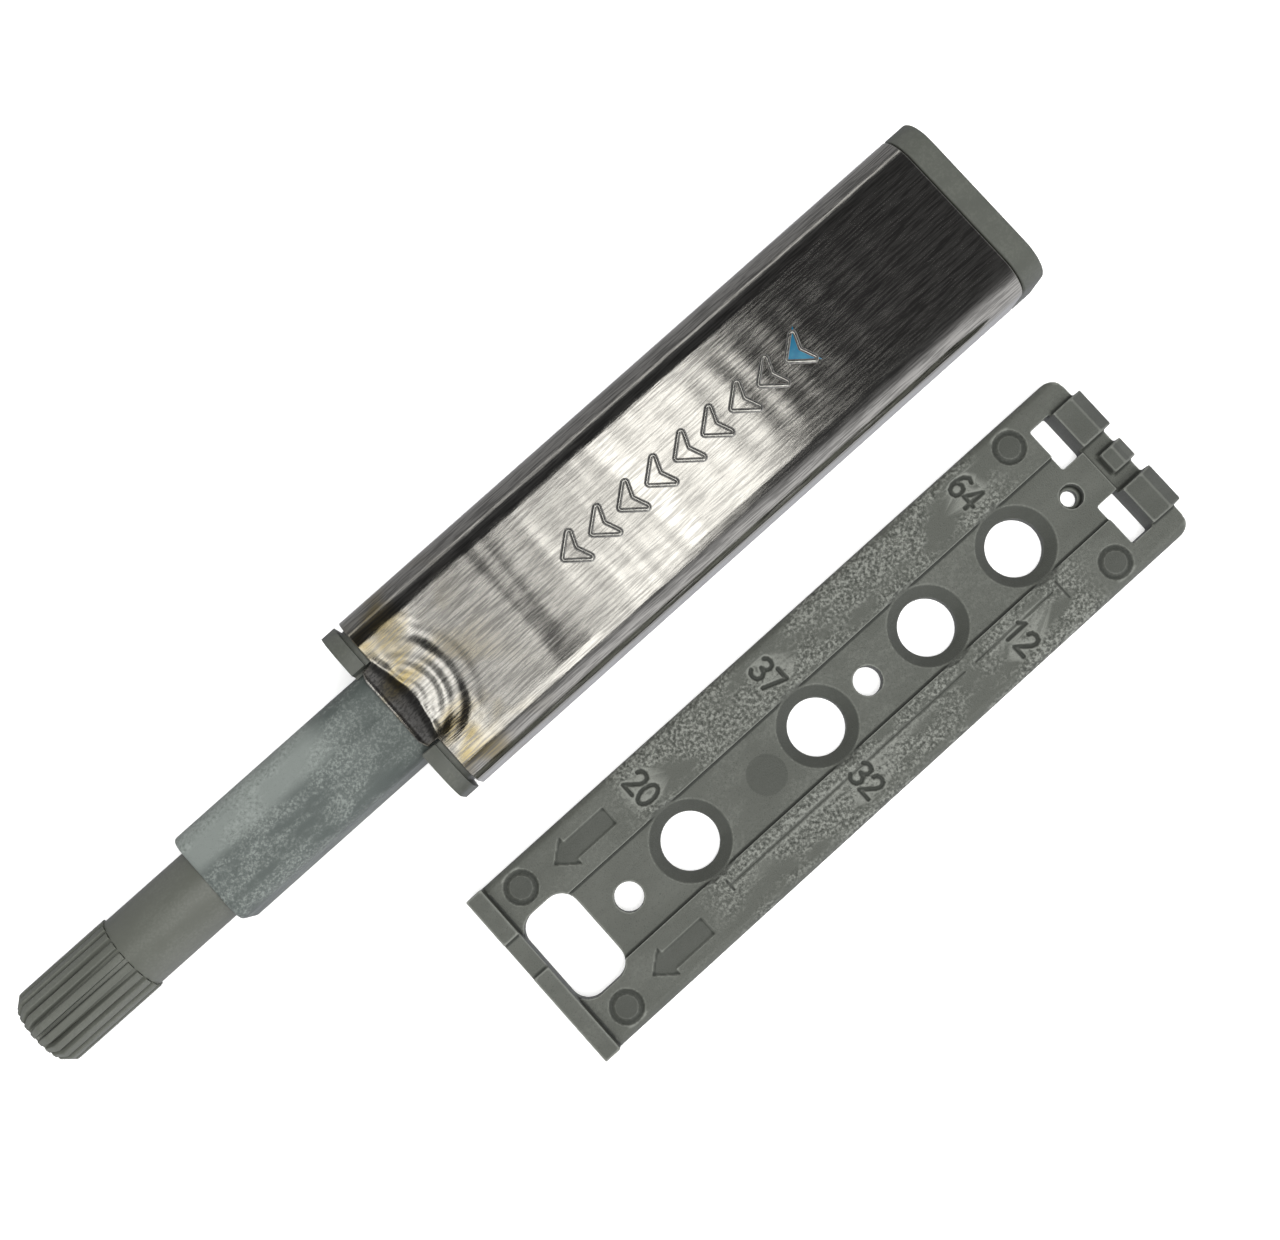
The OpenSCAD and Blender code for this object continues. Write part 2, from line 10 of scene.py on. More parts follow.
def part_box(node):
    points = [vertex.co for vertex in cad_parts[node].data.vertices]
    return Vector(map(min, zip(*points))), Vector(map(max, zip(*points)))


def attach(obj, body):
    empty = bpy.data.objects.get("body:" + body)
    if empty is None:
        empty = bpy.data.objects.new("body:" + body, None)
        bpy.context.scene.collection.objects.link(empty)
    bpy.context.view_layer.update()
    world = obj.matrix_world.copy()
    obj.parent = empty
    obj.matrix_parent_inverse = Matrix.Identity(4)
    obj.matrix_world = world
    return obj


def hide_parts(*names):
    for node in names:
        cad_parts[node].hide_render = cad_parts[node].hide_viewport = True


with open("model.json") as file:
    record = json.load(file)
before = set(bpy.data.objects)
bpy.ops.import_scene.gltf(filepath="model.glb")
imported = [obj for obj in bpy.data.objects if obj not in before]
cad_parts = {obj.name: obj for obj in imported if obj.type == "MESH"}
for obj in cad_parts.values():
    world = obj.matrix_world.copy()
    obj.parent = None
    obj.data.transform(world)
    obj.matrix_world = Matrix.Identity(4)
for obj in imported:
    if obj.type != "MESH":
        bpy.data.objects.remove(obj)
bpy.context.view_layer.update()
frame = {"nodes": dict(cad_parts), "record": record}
mm = 0.001

# where the latch and the plate lie, in millimetres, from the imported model
casingLow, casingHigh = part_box("steel_casing")
plateLow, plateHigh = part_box("mounting_plate")
axisZ = (casingLow.z + casingHigh.z) / 2 / mm
latchOrigin = Vector((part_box("guide_body")[1].x / mm, (casingLow.y + casingHigh.y) / 2 / mm, 0))
lipAhead = 0.4
plateOrigin = Vector((plateHigh.x / mm - lipAhead, (plateLow.y + plateHigh.y) / 2 / mm, 0))


def toLinear(code):
    # sRGB hex to the linear colour that Blender's sockets take
    parts = [int(code[i:i + 2], 16) / 255 for i in (1, 3, 5)]
    return [c / 12.92 if c <= 0.04045 else ((c + 0.055) / 1.055) ** 2.4 for c in parts] + [1]


def perMm(*sizes):
    # texture scale that gives one feature every so many millimetres along x, y and z
    return [1 / (size * mm) for size in sizes]


def addNode(tree, kind, inputs=None, **settings):
    # one node with its settings; an input takes a value, a socket or another node's first output
    node = tree.nodes.new(kind)
    for name, value in settings.items():
        setattr(node, name, value)
    for socket, value in (inputs or {}).items():
        if isinstance(value, bpy.types.Node):
            value = value.outputs[0]
        if isinstance(value, bpy.types.NodeSocket):
            tree.links.new(value, node.inputs[socket])
        else:
            node.inputs[socket].default_value = value
    return node


def smoothStep(low, high, value):
    t = min(1, max(0, (value - low) / (high - low)))
    return t * t * (3 - 2 * t)


def startMaterial(name):
    material = bpy.data.materials.new(name)
    material.use_nodes = True
    tree = material.node_tree
    tree.nodes.clear()
    return material, tree, addNode(tree, "ShaderNodeTexCoord").outputs["Object"]


# Stainless steel strip, cold rolled and brushed lengthwise: a hard mirror under fine scratches,
# so a lamp shows as a bright patch that smears across the grain. The scratches are drawn about
# twice as coarse as real ones, which would be too fine to show.
steelLook = dict(tone="#cdcac2", warm="#b0a074", shade="#85837e", anisotropy=0.45,
                 grain=(3.2, 0.19, 0.19), fine=(1.6, 0.3, 0.3), fineShare=0.35, scratchDeep=0.012,
                 roughness=0.05, grainRough=0.1, streakRange=(0.36, 0.6), streakAmount=0.75,
                 bands=(2.2, 22, 30), bandRange=(0.4, 0.62), bandRough=0.1, bandReach=(44, 30),
                 cloud=(5, 4, 4), tintRange=(0.42, 0.68), tintReach=(15, 3))


def brushedStainless():
    look = steelLook
    material, tree, place = startMaterial("Stainless strip, brushed lengthwise")
    grainPlace = addNode(tree, "ShaderNodeMapping", {"Vector": place, "Scale": perMm(*look["grain"])})
    grain = addNode(tree, "ShaderNodeTexNoise",
                    {"Vector": grainPlace, "Scale": 1, "Detail": 4, "Roughness": 0.6})
    finePlace = addNode(tree, "ShaderNodeMapping", {"Vector": place, "Scale": perMm(*look["fine"])})
    fine = addNode(tree, "ShaderNodeTexNoise",
                   {"Vector": finePlace, "Scale": 1, "Detail": 3, "Roughness": 0.6})
    # a faint brown heat tint, only near the folded front
    front = latchOrigin.x
    along = addNode(tree, "ShaderNodeSeparateXYZ", {"Vector": place}).outputs["X"]
    nearFront = addNode(tree, "ShaderNodeMapRange",
                        {"Value": along, "From Min": (front - look["tintReach"][0]) * mm,
                         "From Max": (front - look["tintReach"][1]) * mm},
                        interpolation_type="SMOOTHSTEP")
    cloudPlace = addNode(tree, "ShaderNodeMapping", {"Vector": place, "Scale": perMm(*look["cloud"])})
    cloud = addNode(tree, "ShaderNodeTexNoise",
                    {"Vector": cloudPlace, "Scale": 1, "Detail": 2, "Roughness": 0.5})
    clouded = addNode(tree, "ShaderNodeMapRange",
                      {"Value": cloud, "From Min": look["tintRange"][0],
                       "From Max": look["tintRange"][1]}, interpolation_type="SMOOTHSTEP")
    tint = addNode(tree, "ShaderNodeMath", {0: clouded, 1: nearFront}, operation="MULTIPLY")
    tinted = addNode(tree, "ShaderNodeMix",
                     {0: tint, 6: toLinear(look["tone"]), 7: toLinear(look["warm"])},
                     data_type="RGBA").outputs[2]
    streaks = addNode(tree, "ShaderNodeMapRange",
                      {"Value": grain, "From Min": look["streakRange"][0],
                       "From Max": look["streakRange"][1], "To Min": look["streakAmount"],
                       "To Max": 0.0}, interpolation_type="SMOOTHSTEP")
    colour = addNode(tree, "ShaderNodeMix", {0: streaks, 6: tinted, 7: toLinear(look["shade"])},
                     data_type="RGBA").outputs[2]
    # cross bands on the front half, where the rolls left the surface a little duller
    bandPlace = addNode(tree, "ShaderNodeMapping", {"Vector": place, "Scale": perMm(*look["bands"])})
    bands = addNode(tree, "ShaderNodeTexNoise",
                    {"Vector": bandPlace, "Scale": 1, "Detail": 1, "Roughness": 0.4})
    dull = addNode(tree, "ShaderNodeMapRange",
                   {"Value": bands, "From Min": look["bandRange"][0],
                    "From Max": look["bandRange"][1], "To Max": look["bandRough"]},
                   interpolation_type="SMOOTHSTEP")
    frontHalf = addNode(tree, "ShaderNodeMapRange",
                        {"Value": along, "From Min": (front - look["bandReach"][0]) * mm,
                         "From Max": (front - look["bandReach"][1]) * mm},
                        interpolation_type="SMOOTHSTEP")
    banding = addNode(tree, "ShaderNodeMath", {0: dull, 1: frontHalf}, operation="MULTIPLY")
    rough = addNode(tree, "ShaderNodeMath", {0: grain, 1: look["grainRough"], 2: look["roughness"]},
                    operation="MULTIPLY_ADD")
    roughness = addNode(tree, "ShaderNodeMath", {0: rough, 1: banding}, operation="ADD")
    scratch = addNode(tree, "ShaderNodeMath", {0: fine, 1: look["fineShare"], 2: grain},
                      operation="MULTIPLY_ADD")
    bump = addNode(tree, "ShaderNodeBump",
                   {"Height": scratch, "Strength": 0.5, "Distance": look["scratchDeep"] * mm})
    tangent = addNode(tree, "ShaderNodeTangent", direction_type="UV_MAP", uv_map="grain")
    shader = addNode(tree, "ShaderNodeBsdfPrincipled",
                     {"Metallic": 1, "Anisotropic": look["anisotropy"], "Base Color": colour,
                      "Roughness": roughness, "Normal": bump, "Tangent": tangent})
    addNode(tree, "ShaderNodeOutputMaterial", {"Surface": shader})
    return material


# Drawn, pressed or ground steel: fine streaks, darker and duller by turns, that break the glint.
plainLook = dict(dullShare=0.7, streakRange=(0.35, 0.65), roughSwing=0.25)


def plainSteel(name, tone, roughness, streak):
    look = plainLook
    material, tree, place = startMaterial(name)
    streakPlace = addNode(tree, "ShaderNodeMapping", {"Vector": place, "Scale": perMm(*streak)})
    streaks = addNode(tree, "ShaderNodeTexNoise",
                      {"Vector": streakPlace, "Scale": 1, "Detail": 3, "Roughness": 0.6})
    clean = addNode(tree, "ShaderNodeMapRange",
                    {"Value": streaks, "From Min": look["streakRange"][0],
                     "From Max": look["streakRange"][1]}, interpolation_type="SMOOTHSTEP")
    dull = [c * look["dullShare"] for c in toLinear(tone)[:3]] + [1]
    colour = addNode(tree, "ShaderNodeMix", {0: clean, 6: dull, 7: toLinear(tone)},
                     data_type="RGBA").outputs[2]
    rough = addNode(tree, "ShaderNodeMath", {0: streaks, 1: look["roughSwing"], 2: roughness},
                    operation="MULTIPLY_ADD")
    shader = addNode(tree, "ShaderNodeBsdfPrincipled",
                     {"Metallic": 1, "Base Color": colour, "Roughness": rough})
    addNode(tree, "ShaderNodeOutputMaterial", {"Surface": shader})
    return material


# Mouldings: matt grey, with paler flow marks and a crumbly skin where the mould was spark eroded.
# The crumb is drawn about twice as coarse as the real one, so that it shows at arm's length.
mouldingLooks = {
    "plate": dict(name="Glass-filled polyamide, spark-eroded mould", tone="#555751", pale="#888a83",
                  dark="#2e302c", crumb=0.34, crumbAmount=1.0, depth=0.15, flow=5, flowAmount=0.2,
                  roughness=0.48),
    "body": dict(name="Glass-filled polyamide, smooth mould", tone="#50524c", pale="#6e7068",
                 dark="#3c3e39", crumb=0.3, crumbAmount=0.18, depth=0.012, flow=4, flowAmount=0.25,
                 roughness=0.42),
    "sleeve": dict(name="Acetal, dull moulded", tone="#505653", pale="#8b918c", dark="#3c423f",
                   crumb=0.26, crumbAmount=0.55, depth=0.05, flow=3.5, flowAmount=0.5, roughness=0.42),
    "rod": dict(name="Polyamide, satin turned", tone="#5a5c55", pale="#797b74", dark="#3a3c37",
                crumb=0.25, crumbAmount=0.15, depth=0.008, flow=5, flowAmount=0.3, roughness=0.4),
}
crumbRanges = dict(speckSize=0.4, flowLong=1.6, flowWide=0.6, patches=(0.38, 0.56),
                   pale=(0.47, 0.62), flow=(0.35, 0.7), dark=(0.46, 0.36), darkShare=0.7,
                   speck=(0.4, 0.3), speckShare=0.5, speckHeight=0.4)
# sleeve: the pale side is flow in the moulding; the darkening near the casing mouth is painted shade
sleeveFlowAndShade = dict(paleFrom=0.2, paleTo=-1.8, paleAmount=0.55, reach=(4, 8), mouthShade=(7, 1),
                  mouthShadeAmount=0.4)
# plate: darkening of the marks, painted highlight on outer edges and painted shade in inner corners
plateMarksAndShading = dict(marksAndShadeAmount=0.75, paintedEdgeSheen=(0.15, 0.9), paintedEdgeSheenAmount=0.75, paintedCreviceShade=(-0.12, -0.8),
                 paintedCreviceShadeAmount=0.85)


def mouldedPlastic(kind):
    look, ranges = mouldingLooks[kind], crumbRanges
    material, tree, place = startMaterial(look["name"])
    tone, pale, dark = (toLinear(look[shade]) for shade in ("tone", "pale", "dark"))
    crumbPlace = addNode(tree, "ShaderNodeMapping",
                         {"Vector": place, "Scale": perMm(*[look["crumb"]] * 3)})
    crumb = addNode(tree, "ShaderNodeTexNoise",
                    {"Vector": crumbPlace, "Scale": 1, "Detail": 4, "Roughness": 0.65})
    speckPlace = addNode(tree, "ShaderNodeMapping",
                         {"Vector": place, "Scale": perMm(*[look["crumb"] * ranges["speckSize"]] * 3)})
    speck = addNode(tree, "ShaderNodeTexNoise",
                    {"Vector": speckPlace, "Scale": 1, "Detail": 2, "Roughness": 0.6})
    flowSizes = (look["flow"] * ranges["flowLong"], look["flow"] * ranges["flowWide"], look["flow"])
    flowPlace = addNode(tree, "ShaderNodeMapping", {"Vector": place, "Scale": perMm(*flowSizes)})
    flow = addNode(tree, "ShaderNodeTexNoise",
                   {"Vector": flowPlace, "Scale": 1, "Detail": 3, "Roughness": 0.55})
    patches = addNode(tree, "ShaderNodeMapRange",
                      {"Value": flow, "From Min": ranges["patches"][0],
                       "From Max": ranges["patches"][1]}, interpolation_type="SMOOTHSTEP")
    paleCrumb = addNode(tree, "ShaderNodeMapRange",
                        {"Value": crumb, "From Min": ranges["pale"][0],
                         "From Max": ranges["pale"][1]}, interpolation_type="SMOOTHSTEP")
    paleness = addNode(tree, "ShaderNodeMath", {0: paleCrumb, 1: patches}, operation="MULTIPLY")
    if kind == "plate":
        # the crumbly skin lies on the two strips; the channel between them is smoother
        crumbly = addNode(tree, "ShaderNodeAttribute", attribute_name="crumbly").outputs["Fac"]
        paleness = addNode(tree, "ShaderNodeMath", {0: paleness, 1: crumbly}, operation="MULTIPLY")
        patches = addNode(tree, "ShaderNodeMath", {0: patches, 1: crumbly}, operation="MULTIPLY")
    paleFlow = addNode(tree, "ShaderNodeMapRange",
                       {"Value": flow, "From Min": ranges["flow"][0], "From Max": ranges["flow"][1],
                        "To Max": look["flowAmount"] / 2}, interpolation_type="SMOOTHSTEP")
    palest = addNode(tree, "ShaderNodeMath", {0: paleness, 1: look["crumbAmount"], 2: paleFlow},
                     operation="MULTIPLY_ADD")
    colour = addNode(tree, "ShaderNodeMix", {0: palest, 6: tone, 7: pale},
                     data_type="RGBA").outputs[2]
    darkCrumb = addNode(tree, "ShaderNodeMapRange",
                        {"Value": crumb, "From Min": ranges["dark"][0], "From Max": ranges["dark"][1],
                         "To Max": look["crumbAmount"] * ranges["darkShare"]},
                        interpolation_type="SMOOTHSTEP")
    patchy = addNode(tree, "ShaderNodeMath", {0: darkCrumb, 1: patches}, operation="MULTIPLY")
    darkSpeck = addNode(tree, "ShaderNodeMapRange",
                        {"Value": speck, "From Min": ranges["speck"][0],
                         "From Max": ranges["speck"][1],
                         "To Max": look["crumbAmount"] * ranges["speckShare"]},
                        interpolation_type="SMOOTHSTEP")
    darkness = addNode(tree, "ShaderNodeMath", {0: patchy, 1: darkSpeck}, operation="MAXIMUM")
    if kind == "sleeve":
        colour, darkness = flowAndShadeSleeve(tree, place, colour, darkness, pale)
    if kind == "plate":
        colour, darkness = shadePlateAndMarks(tree, colour, darkness, pale)
    colour = addNode(tree, "ShaderNodeMix", {0: darkness, 6: colour, 7: dark},
                     data_type="RGBA").outputs[2]
    fineSkin = addNode(tree, "ShaderNodeMath", {0: speck, 1: ranges["speckHeight"]},
                       operation="MULTIPLY")
    skin = addNode(tree, "ShaderNodeMath", {0: crumb, 1: patches, 2: fineSkin},
                   operation="MULTIPLY_ADD")
    bump = addNode(tree, "ShaderNodeBump",
                   {"Height": skin, "Strength": 1.0, "Distance": look["depth"] * mm})
    shader = addNode(tree, "ShaderNodeBsdfPrincipled",
                     {"Base Color": colour, "Roughness": look["roughness"], "IOR": 1.53,
                      "Normal": bump})
    addNode(tree, "ShaderNodeOutputMaterial", {"Surface": shader})
    return material


def flowAndShadeSleeve(tree, place, colour, darkness, pale):
    # paler flow on the side away from the plate, and painted shade near where it goes into the casing
    tintAndShade = sleeveFlowAndShade
    apart = addNode(tree, "ShaderNodeSeparateXYZ", {"Vector": place})
    side = addNode(tree, "ShaderNodeMapRange",
                   {"Value": apart.outputs["Y"], "From Min": (latchOrigin.y + tintAndShade["paleFrom"]) * mm,
                    "From Max": (latchOrigin.y + tintAndShade["paleTo"]) * mm,
                    "To Max": tintAndShade["paleAmount"]}, interpolation_type="SMOOTHSTEP")
    clear = addNode(tree, "ShaderNodeMapRange",
                    {"Value": apart.outputs["X"], "From Min": (latchOrigin.x + tintAndShade["reach"][0]) * mm,
                     "From Max": (latchOrigin.x + tintAndShade["reach"][1]) * mm},
                    interpolation_type="SMOOTHSTEP")
    paleSide = addNode(tree, "ShaderNodeMath", {0: side, 1: clear}, operation="MULTIPLY")
    # painted shade on the sleeve where it goes into the casing
    mouthShade = addNode(tree, "ShaderNodeMapRange",
                   {"Value": apart.outputs["X"], "From Min": (latchOrigin.x + tintAndShade["mouthShade"][0]) * mm,
                    "From Max": (latchOrigin.x + tintAndShade["mouthShade"][1]) * mm,
                    "To Max": tintAndShade["mouthShadeAmount"]}, interpolation_type="SMOOTHSTEP")
    paled = addNode(tree, "ShaderNodeMix", {0: paleSide, 6: colour, 7: pale}, data_type="RGBA")
    return paled.outputs[2], addNode(tree, "ShaderNodeMath", {0: darkness, 1: mouthShade},
                                   operation="MAXIMUM")


def shadePlateAndMarks(tree, colour, darkness, pale):
    # stamped marks are darker, with painted shade in the countersinks and sunk floors; outer edges get a
    # painted highlight and inner corners painted shade
    tintAndShade = plateMarksAndShading
    marksAndShade = addNode(tree, "ShaderNodeAttribute", attribute_name="marksAndShade").outputs["Fac"]
    mark = addNode(tree, "ShaderNodeMath", {0: marksAndShade, 1: tintAndShade["marksAndShadeAmount"]},
                   operation="MULTIPLY")
    marked = addNode(tree, "ShaderNodeMath", {0: darkness, 1: mark}, operation="MAXIMUM")
    edgeSheenAndShade = addNode(tree, "ShaderNodeAttribute", attribute_name="edgeSheenAndShade").outputs["Fac"]
    paintedEdgeSheen = addNode(tree, "ShaderNodeMapRange",
                     {"Value": edgeSheenAndShade, "From Min": tintAndShade["paintedEdgeSheen"][0], "From Max": tintAndShade["paintedEdgeSheen"][1],
                      "To Max": tintAndShade["paintedEdgeSheenAmount"]}, interpolation_type="SMOOTHSTEP")
    paintedCreviceShade = addNode(tree, "ShaderNodeMapRange",
                   {"Value": edgeSheenAndShade, "From Min": tintAndShade["paintedCreviceShade"][0], "From Max": tintAndShade["paintedCreviceShade"][1],
                    "To Max": tintAndShade["paintedCreviceShadeAmount"]}, interpolation_type="SMOOTHSTEP")
    paled = addNode(tree, "ShaderNodeMix", {0: paintedEdgeSheen, 6: colour, 7: pale}, data_type="RGBA")
    return paled.outputs[2], addNode(tree, "ShaderNodeMath", {0: marked, 1: paintedCreviceShade},
                                   operation="MAXIMUM")


# Rubber, acetal and enamel: a quiet mottle and a fine grain that dulls the highlight.
softLook = dict(mottle=(0.4, 0.65), grainStrength=0.4)


def softMaterial(name, tone, other, size, roughness, depth):
    look = softLook
    material, tree, place = startMaterial(name)
    spots = addNode(tree, "ShaderNodeMapping", {"Vector": place, "Scale": perMm(*[size] * 3)})
    mottle = addNode(tree, "ShaderNodeTexNoise",
                     {"Vector": spots, "Scale": 1, "Detail": 4, "Roughness": 0.6})
    share = addNode(tree, "ShaderNodeMapRange",
                    {"Value": mottle, "From Min": look["mottle"][0], "From Max": look["mottle"][1]},
                    interpolation_type="SMOOTHSTEP")
    colour = addNode(tree, "ShaderNodeMix", {0: share, 6: toLinear(tone), 7: toLinear(other)},
                     data_type="RGBA").outputs[2]
    bump = addNode(tree, "ShaderNodeBump",
                   {"Height": mottle, "Strength": look["grainStrength"], "Distance": depth * mm})
    shader = addNode(tree, "ShaderNodeBsdfPrincipled",
                     {"Base Color": colour, "Roughness": roughness, "IOR": 1.5, "Normal": bump})
    addNode(tree, "ShaderNodeOutputMaterial", {"Surface": shader})
    return material


finishes = {
    "brushed_sheet_steel": brushedStainless(),
    "grey_moulding": mouldedPlastic("body"),
    "sleeve_moulding": mouldedPlastic("sleeve"),
    "rod_moulding": mouldedPlastic("rod"),
    "plate_moulding": mouldedPlastic("plate"),
    "white_acetal": softMaterial("Acetal, natural white", "#e6e4dc", "#d6d3c9", 1.5, 0.35, 0.01),
    "black_rubber": softMaterial("Nitrile rubber, moulded", "#1f2022", "#2c2d30", 0.5, 0.7, 0.02),
    "bright_steel": plainSteel("Spring steel wire, drawn bright", "#c4c5c4", 0.2, (0.6, 0.2, 0.2)),
    "pressed_edge": plainSteel("Stainless strip, pressed edge", "#d8d6ce", 0.1, (0.9, 0.2, 0.2)),
    "enamel": softMaterial("Enamel, teal, fired into the stamp", "#0e5a78", "#14677f", 0.8, 0.25, 0.005),
    "nickel_magnet": plainSteel("Ferrite magnet, ground face", "#5b5956", 0.35, (0.3, 0.3, 0.3)),
}
print("finishes made:", len(finishes))


def addObject(name, data):
    thing = bpy.data.objects.new(name, data)
    bpy.context.scene.collection.objects.link(thing)
    return thing


def addFromBmesh(name, bm):
    # an unfinished object, which a modifier or a tree may still work on
    mesh = bpy.data.meshes.new(name)
    bm.to_mesh(mesh)
    bm.free()
    return addObject(name, mesh)


def finishPiece(name, bm, origin, body, slot, nodes=(), angle=35):
    # millimetres round the part's own origin become metres in the shared frame
    bmesh.ops.transform(bm, matrix=Matrix.Scale(mm, 4) @ Matrix.Translation(origin), verts=bm.verts)
    piece = addFromBmesh(name, bm)
    dressPiece(piece, body, slot, nodes, angle)
    return piece


def dressPiece(piece, body, slot, nodes=(), angle=35):
    mesh = piece.data
    mesh.materials.clear()
    mesh.materials.append(finishes[slot])
    mesh.shade_smooth()
    mesh.set_sharp_from_angle(angle=radians(angle))
    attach(piece, body)
    if nodes:
        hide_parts(*nodes)


def bakeModifiers(piece):
    # the evaluated shape becomes the piece's own mesh, and the modifiers go
    bpy.context.view_layer.update()
    evaluated = piece.evaluated_get(bpy.context.evaluated_depsgraph_get())
    mesh = bpy.data.meshes.new_from_object(evaluated)
    piece.modifiers.clear()
    piece.data = mesh


def startTree(name, sockets):
    # a geometry tree with its named inputs, listed by the kind of their sockets
    tree = bpy.data.node_groups.new(name, "GeometryNodeTree")
    ask = tree.interface
    ask.new_socket("Geometry", in_out="INPUT", socket_type="NodeSocketGeometry")
    ask.new_socket("Geometry", in_out="OUTPUT", socket_type="NodeSocketGeometry")
    for kind, labels in sockets.items():
        for label in labels:
            ask.new_socket(label, in_out="INPUT", socket_type="NodeSocket" + kind)
    return tree, addNode(tree, "NodeGroupInput").outputs


def runTree(piece, tree, values):
    # each named input is set by its socket's identifier, then the result becomes a plain mesh
    modifier = piece.modifiers.new(tree.name, "NODES")
    modifier.node_group = tree
    for item in tree.interface.items_tree:
        if item.item_type == "SOCKET" and item.in_out == "INPUT" and item.name in values:
            modifier[item.identifier] = values[item.name]
    bakeModifiers(piece)


def roundCorners(points, radius, steps=4):
    # softens every corner of a closed outline; a short edge takes a smaller radius
    outline = []
    count = len(points)
    mostOfEdge = 0.45
    for i in range(count):
        before, here, after = (Vector(points[(i + k) % count]) for k in (-1, 0, 1))
        toBefore, toAfter = before - here, after - here
        reach = min(radius, toBefore.length * mostOfEdge, toAfter.length * mostOfEdge)
        start = here + toBefore.normalized() * reach
        end = here + toAfter.normalized() * reach
        for k in range(steps + 1):
            t = k / steps
            outline.append(start * (1 - t) ** 2 + here * 2 * t * (1 - t) + end * t * t)
    return outline


def lathe(outline, segments=96):
    # turns a closed outline of depth and radius round the plunger's axis
    bm = bmesh.new()
    angles = [2 * pi * k / segments for k in range(segments)]
    rings = []
    for depth, radius in outline:
        if radius < 1e-6:
            rings.append([bm.verts.new((-depth, 0, axisZ))])
        else:
            rings.append([bm.verts.new((-depth, radius * cos(a), axisZ + radius * sin(a)))
                          for a in angles])
    joinRings(bm, rings)
    return bm


def joinRings(bm, rings, closed=True):
    # skins rings of points; a ring of one point closes the skin there
    pairs = zip(rings, rings[1:] + rings[:1]) if closed else zip(rings, rings[1:])
    for first, second in pairs:
        count = max(len(first), len(second))
        for k in range(count):
            corners = [first[k % len(first)], first[(k + 1) % len(first)],
                       second[(k + 1) % len(second)], second[k % len(second)]]
            corners = list(dict.fromkeys(corners))
            if len(corners) > 2:
                bm.faces.new(corners)
    bmesh.ops.recalc_face_normals(bm, faces=bm.faces)


# Steel casing: a tube bent from one strip, whose middle runs on and folds over the plunger.
casing = dict(width=20.3, height=13.0, corner=3.5, sheet=0.7, seam=0.3, front=2.2, back=73.35,
              tabHalf=4.75, tabEnd=0.55, tabFlat=3.75, tabCurl=0.4, foldMiddle=2.7, foldSide=1.9,
              foldAhead=0.55, foldWide=4.9, foldSlope=0.56, foldFade=(4.75, 5.6), lipLong=0.35,
              lipThin=0.3, lipReach=(2.0, 0.8), dishCentre=1.8, dishSquash=0.95, dishIn=3.7,
              dishOut=9.6, dishDepth=0.2, dishFront=(0.5, 3.5), dishEdge=(3.4, 6.9),
              rippleDepth=0.007, rippleLength=1.5, rippleReach=(5.5, 11), waveDepth=0.006,
              waveLength=3.4, waveWander=1.5, waveSpread=(0.21, 0.12), waveSeed=2.0,
              waveEdge=(3.5, 6.4), underSteps=6, cornerSteps=16, sideSteps=8, tabSteps=44,
              tabRows=9, fineRow=0.22, fineCount=46, coarseCount=100, slopeStep=0.1,
              rim=0.09, rimAngle=55)


def topShape(depth, y):
    # how far the flat top sinks: the dish behind the fold, the fold, and the strip's slight waves
    c = casing
    away = hypot(depth - c["dishCentre"], y * c["dishSquash"])
    behindTab = smoothStep(*c["dishFront"], depth)
    dish = -c["dishDepth"] * (1 - smoothStep(c["dishIn"], c["dishOut"], away))
    dish *= behindTab * (1 - smoothStep(*c["dishEdge"], abs(y)))
    # the press leaves faint rings round the dish
    ring = c["rippleDepth"] * sin(2 * pi * away / c["rippleLength"])
    dish += ring * (1 - smoothStep(*c["rippleReach"], away)) * behindTab
    bow = (c["foldMiddle"] - c["foldSide"]) * (1 - (y / c["foldWide"]) ** 2)
    foldLine = c["foldSide"] + bow + c["foldAhead"]
    past = max(0, foldLine - depth) * (1 - smoothStep(*c["foldFade"], abs(y)))
    # the last of the tab flattens into a narrow lip that catches the light
    past = min(past, foldLine - c["tabEnd"] - c["lipLong"])
    fold = -c["foldSlope"] * (past * past / 2 if past < 1 else past - 0.5)
    wander = noise.noise((depth * c["waveSpread"][0], y * c["waveSpread"][1], c["waveSeed"]))
    wave = sin(2 * pi * depth / c["waveLength"] + c["waveWander"] * wander)
    return dish + fold + c["waveDepth"] * wave * (1 - smoothStep(*c["waveEdge"], abs(y)))


def casingSection():
    # outline from the seam underneath, round the plate's side and the top, and back to the seam
    c = casing
    half, r, top = c["width"] / 2, c["corner"], c["height"]
    columns = []

    def line(y0, z0, y1, z1, normal, steps):
        for k in range(steps):
            t = k / steps
            columns.append((y0 + (y1 - y0) * t, z0 + (z1 - z0) * t, *normal))

    def corner(y, z, start):
        for k in range(c["cornerSteps"]):
            a = start + pi / 2 * k / c["cornerSteps"]
            columns.append((y + r * cos(a), z + r * sin(a), cos(a), sin(a)))

    line(c["seam"] / 2, 0, half - r, 0, (0, -1), c["underSteps"])
    corner(half - r, r, -pi / 2)
    line(half, r, half, top - r, (1, 0), c["sideSteps"])
    corner(half - r, top - r, 0)
    line(half - r, top, c["tabHalf"], top, (0, 1), c["sideSteps"])
    line(c["tabHalf"], top, -c["tabHalf"], top, (0, 1), c["tabSteps"])
    line(-c["tabHalf"], top, -half + r, top, (0, 1), c["sideSteps"])
    corner(-half + r, top - r, pi / 2)
    line(-half, top - r, -half, r, (-1, 0), c["sideSteps"])
    corner(-half + r, r, pi)
    line(-half + r, 0, -c["seam"] / 2, 0, (0, -1), c["underSteps"])
    columns.append((-c["seam"] / 2, 0, 0, -1))
    return columns


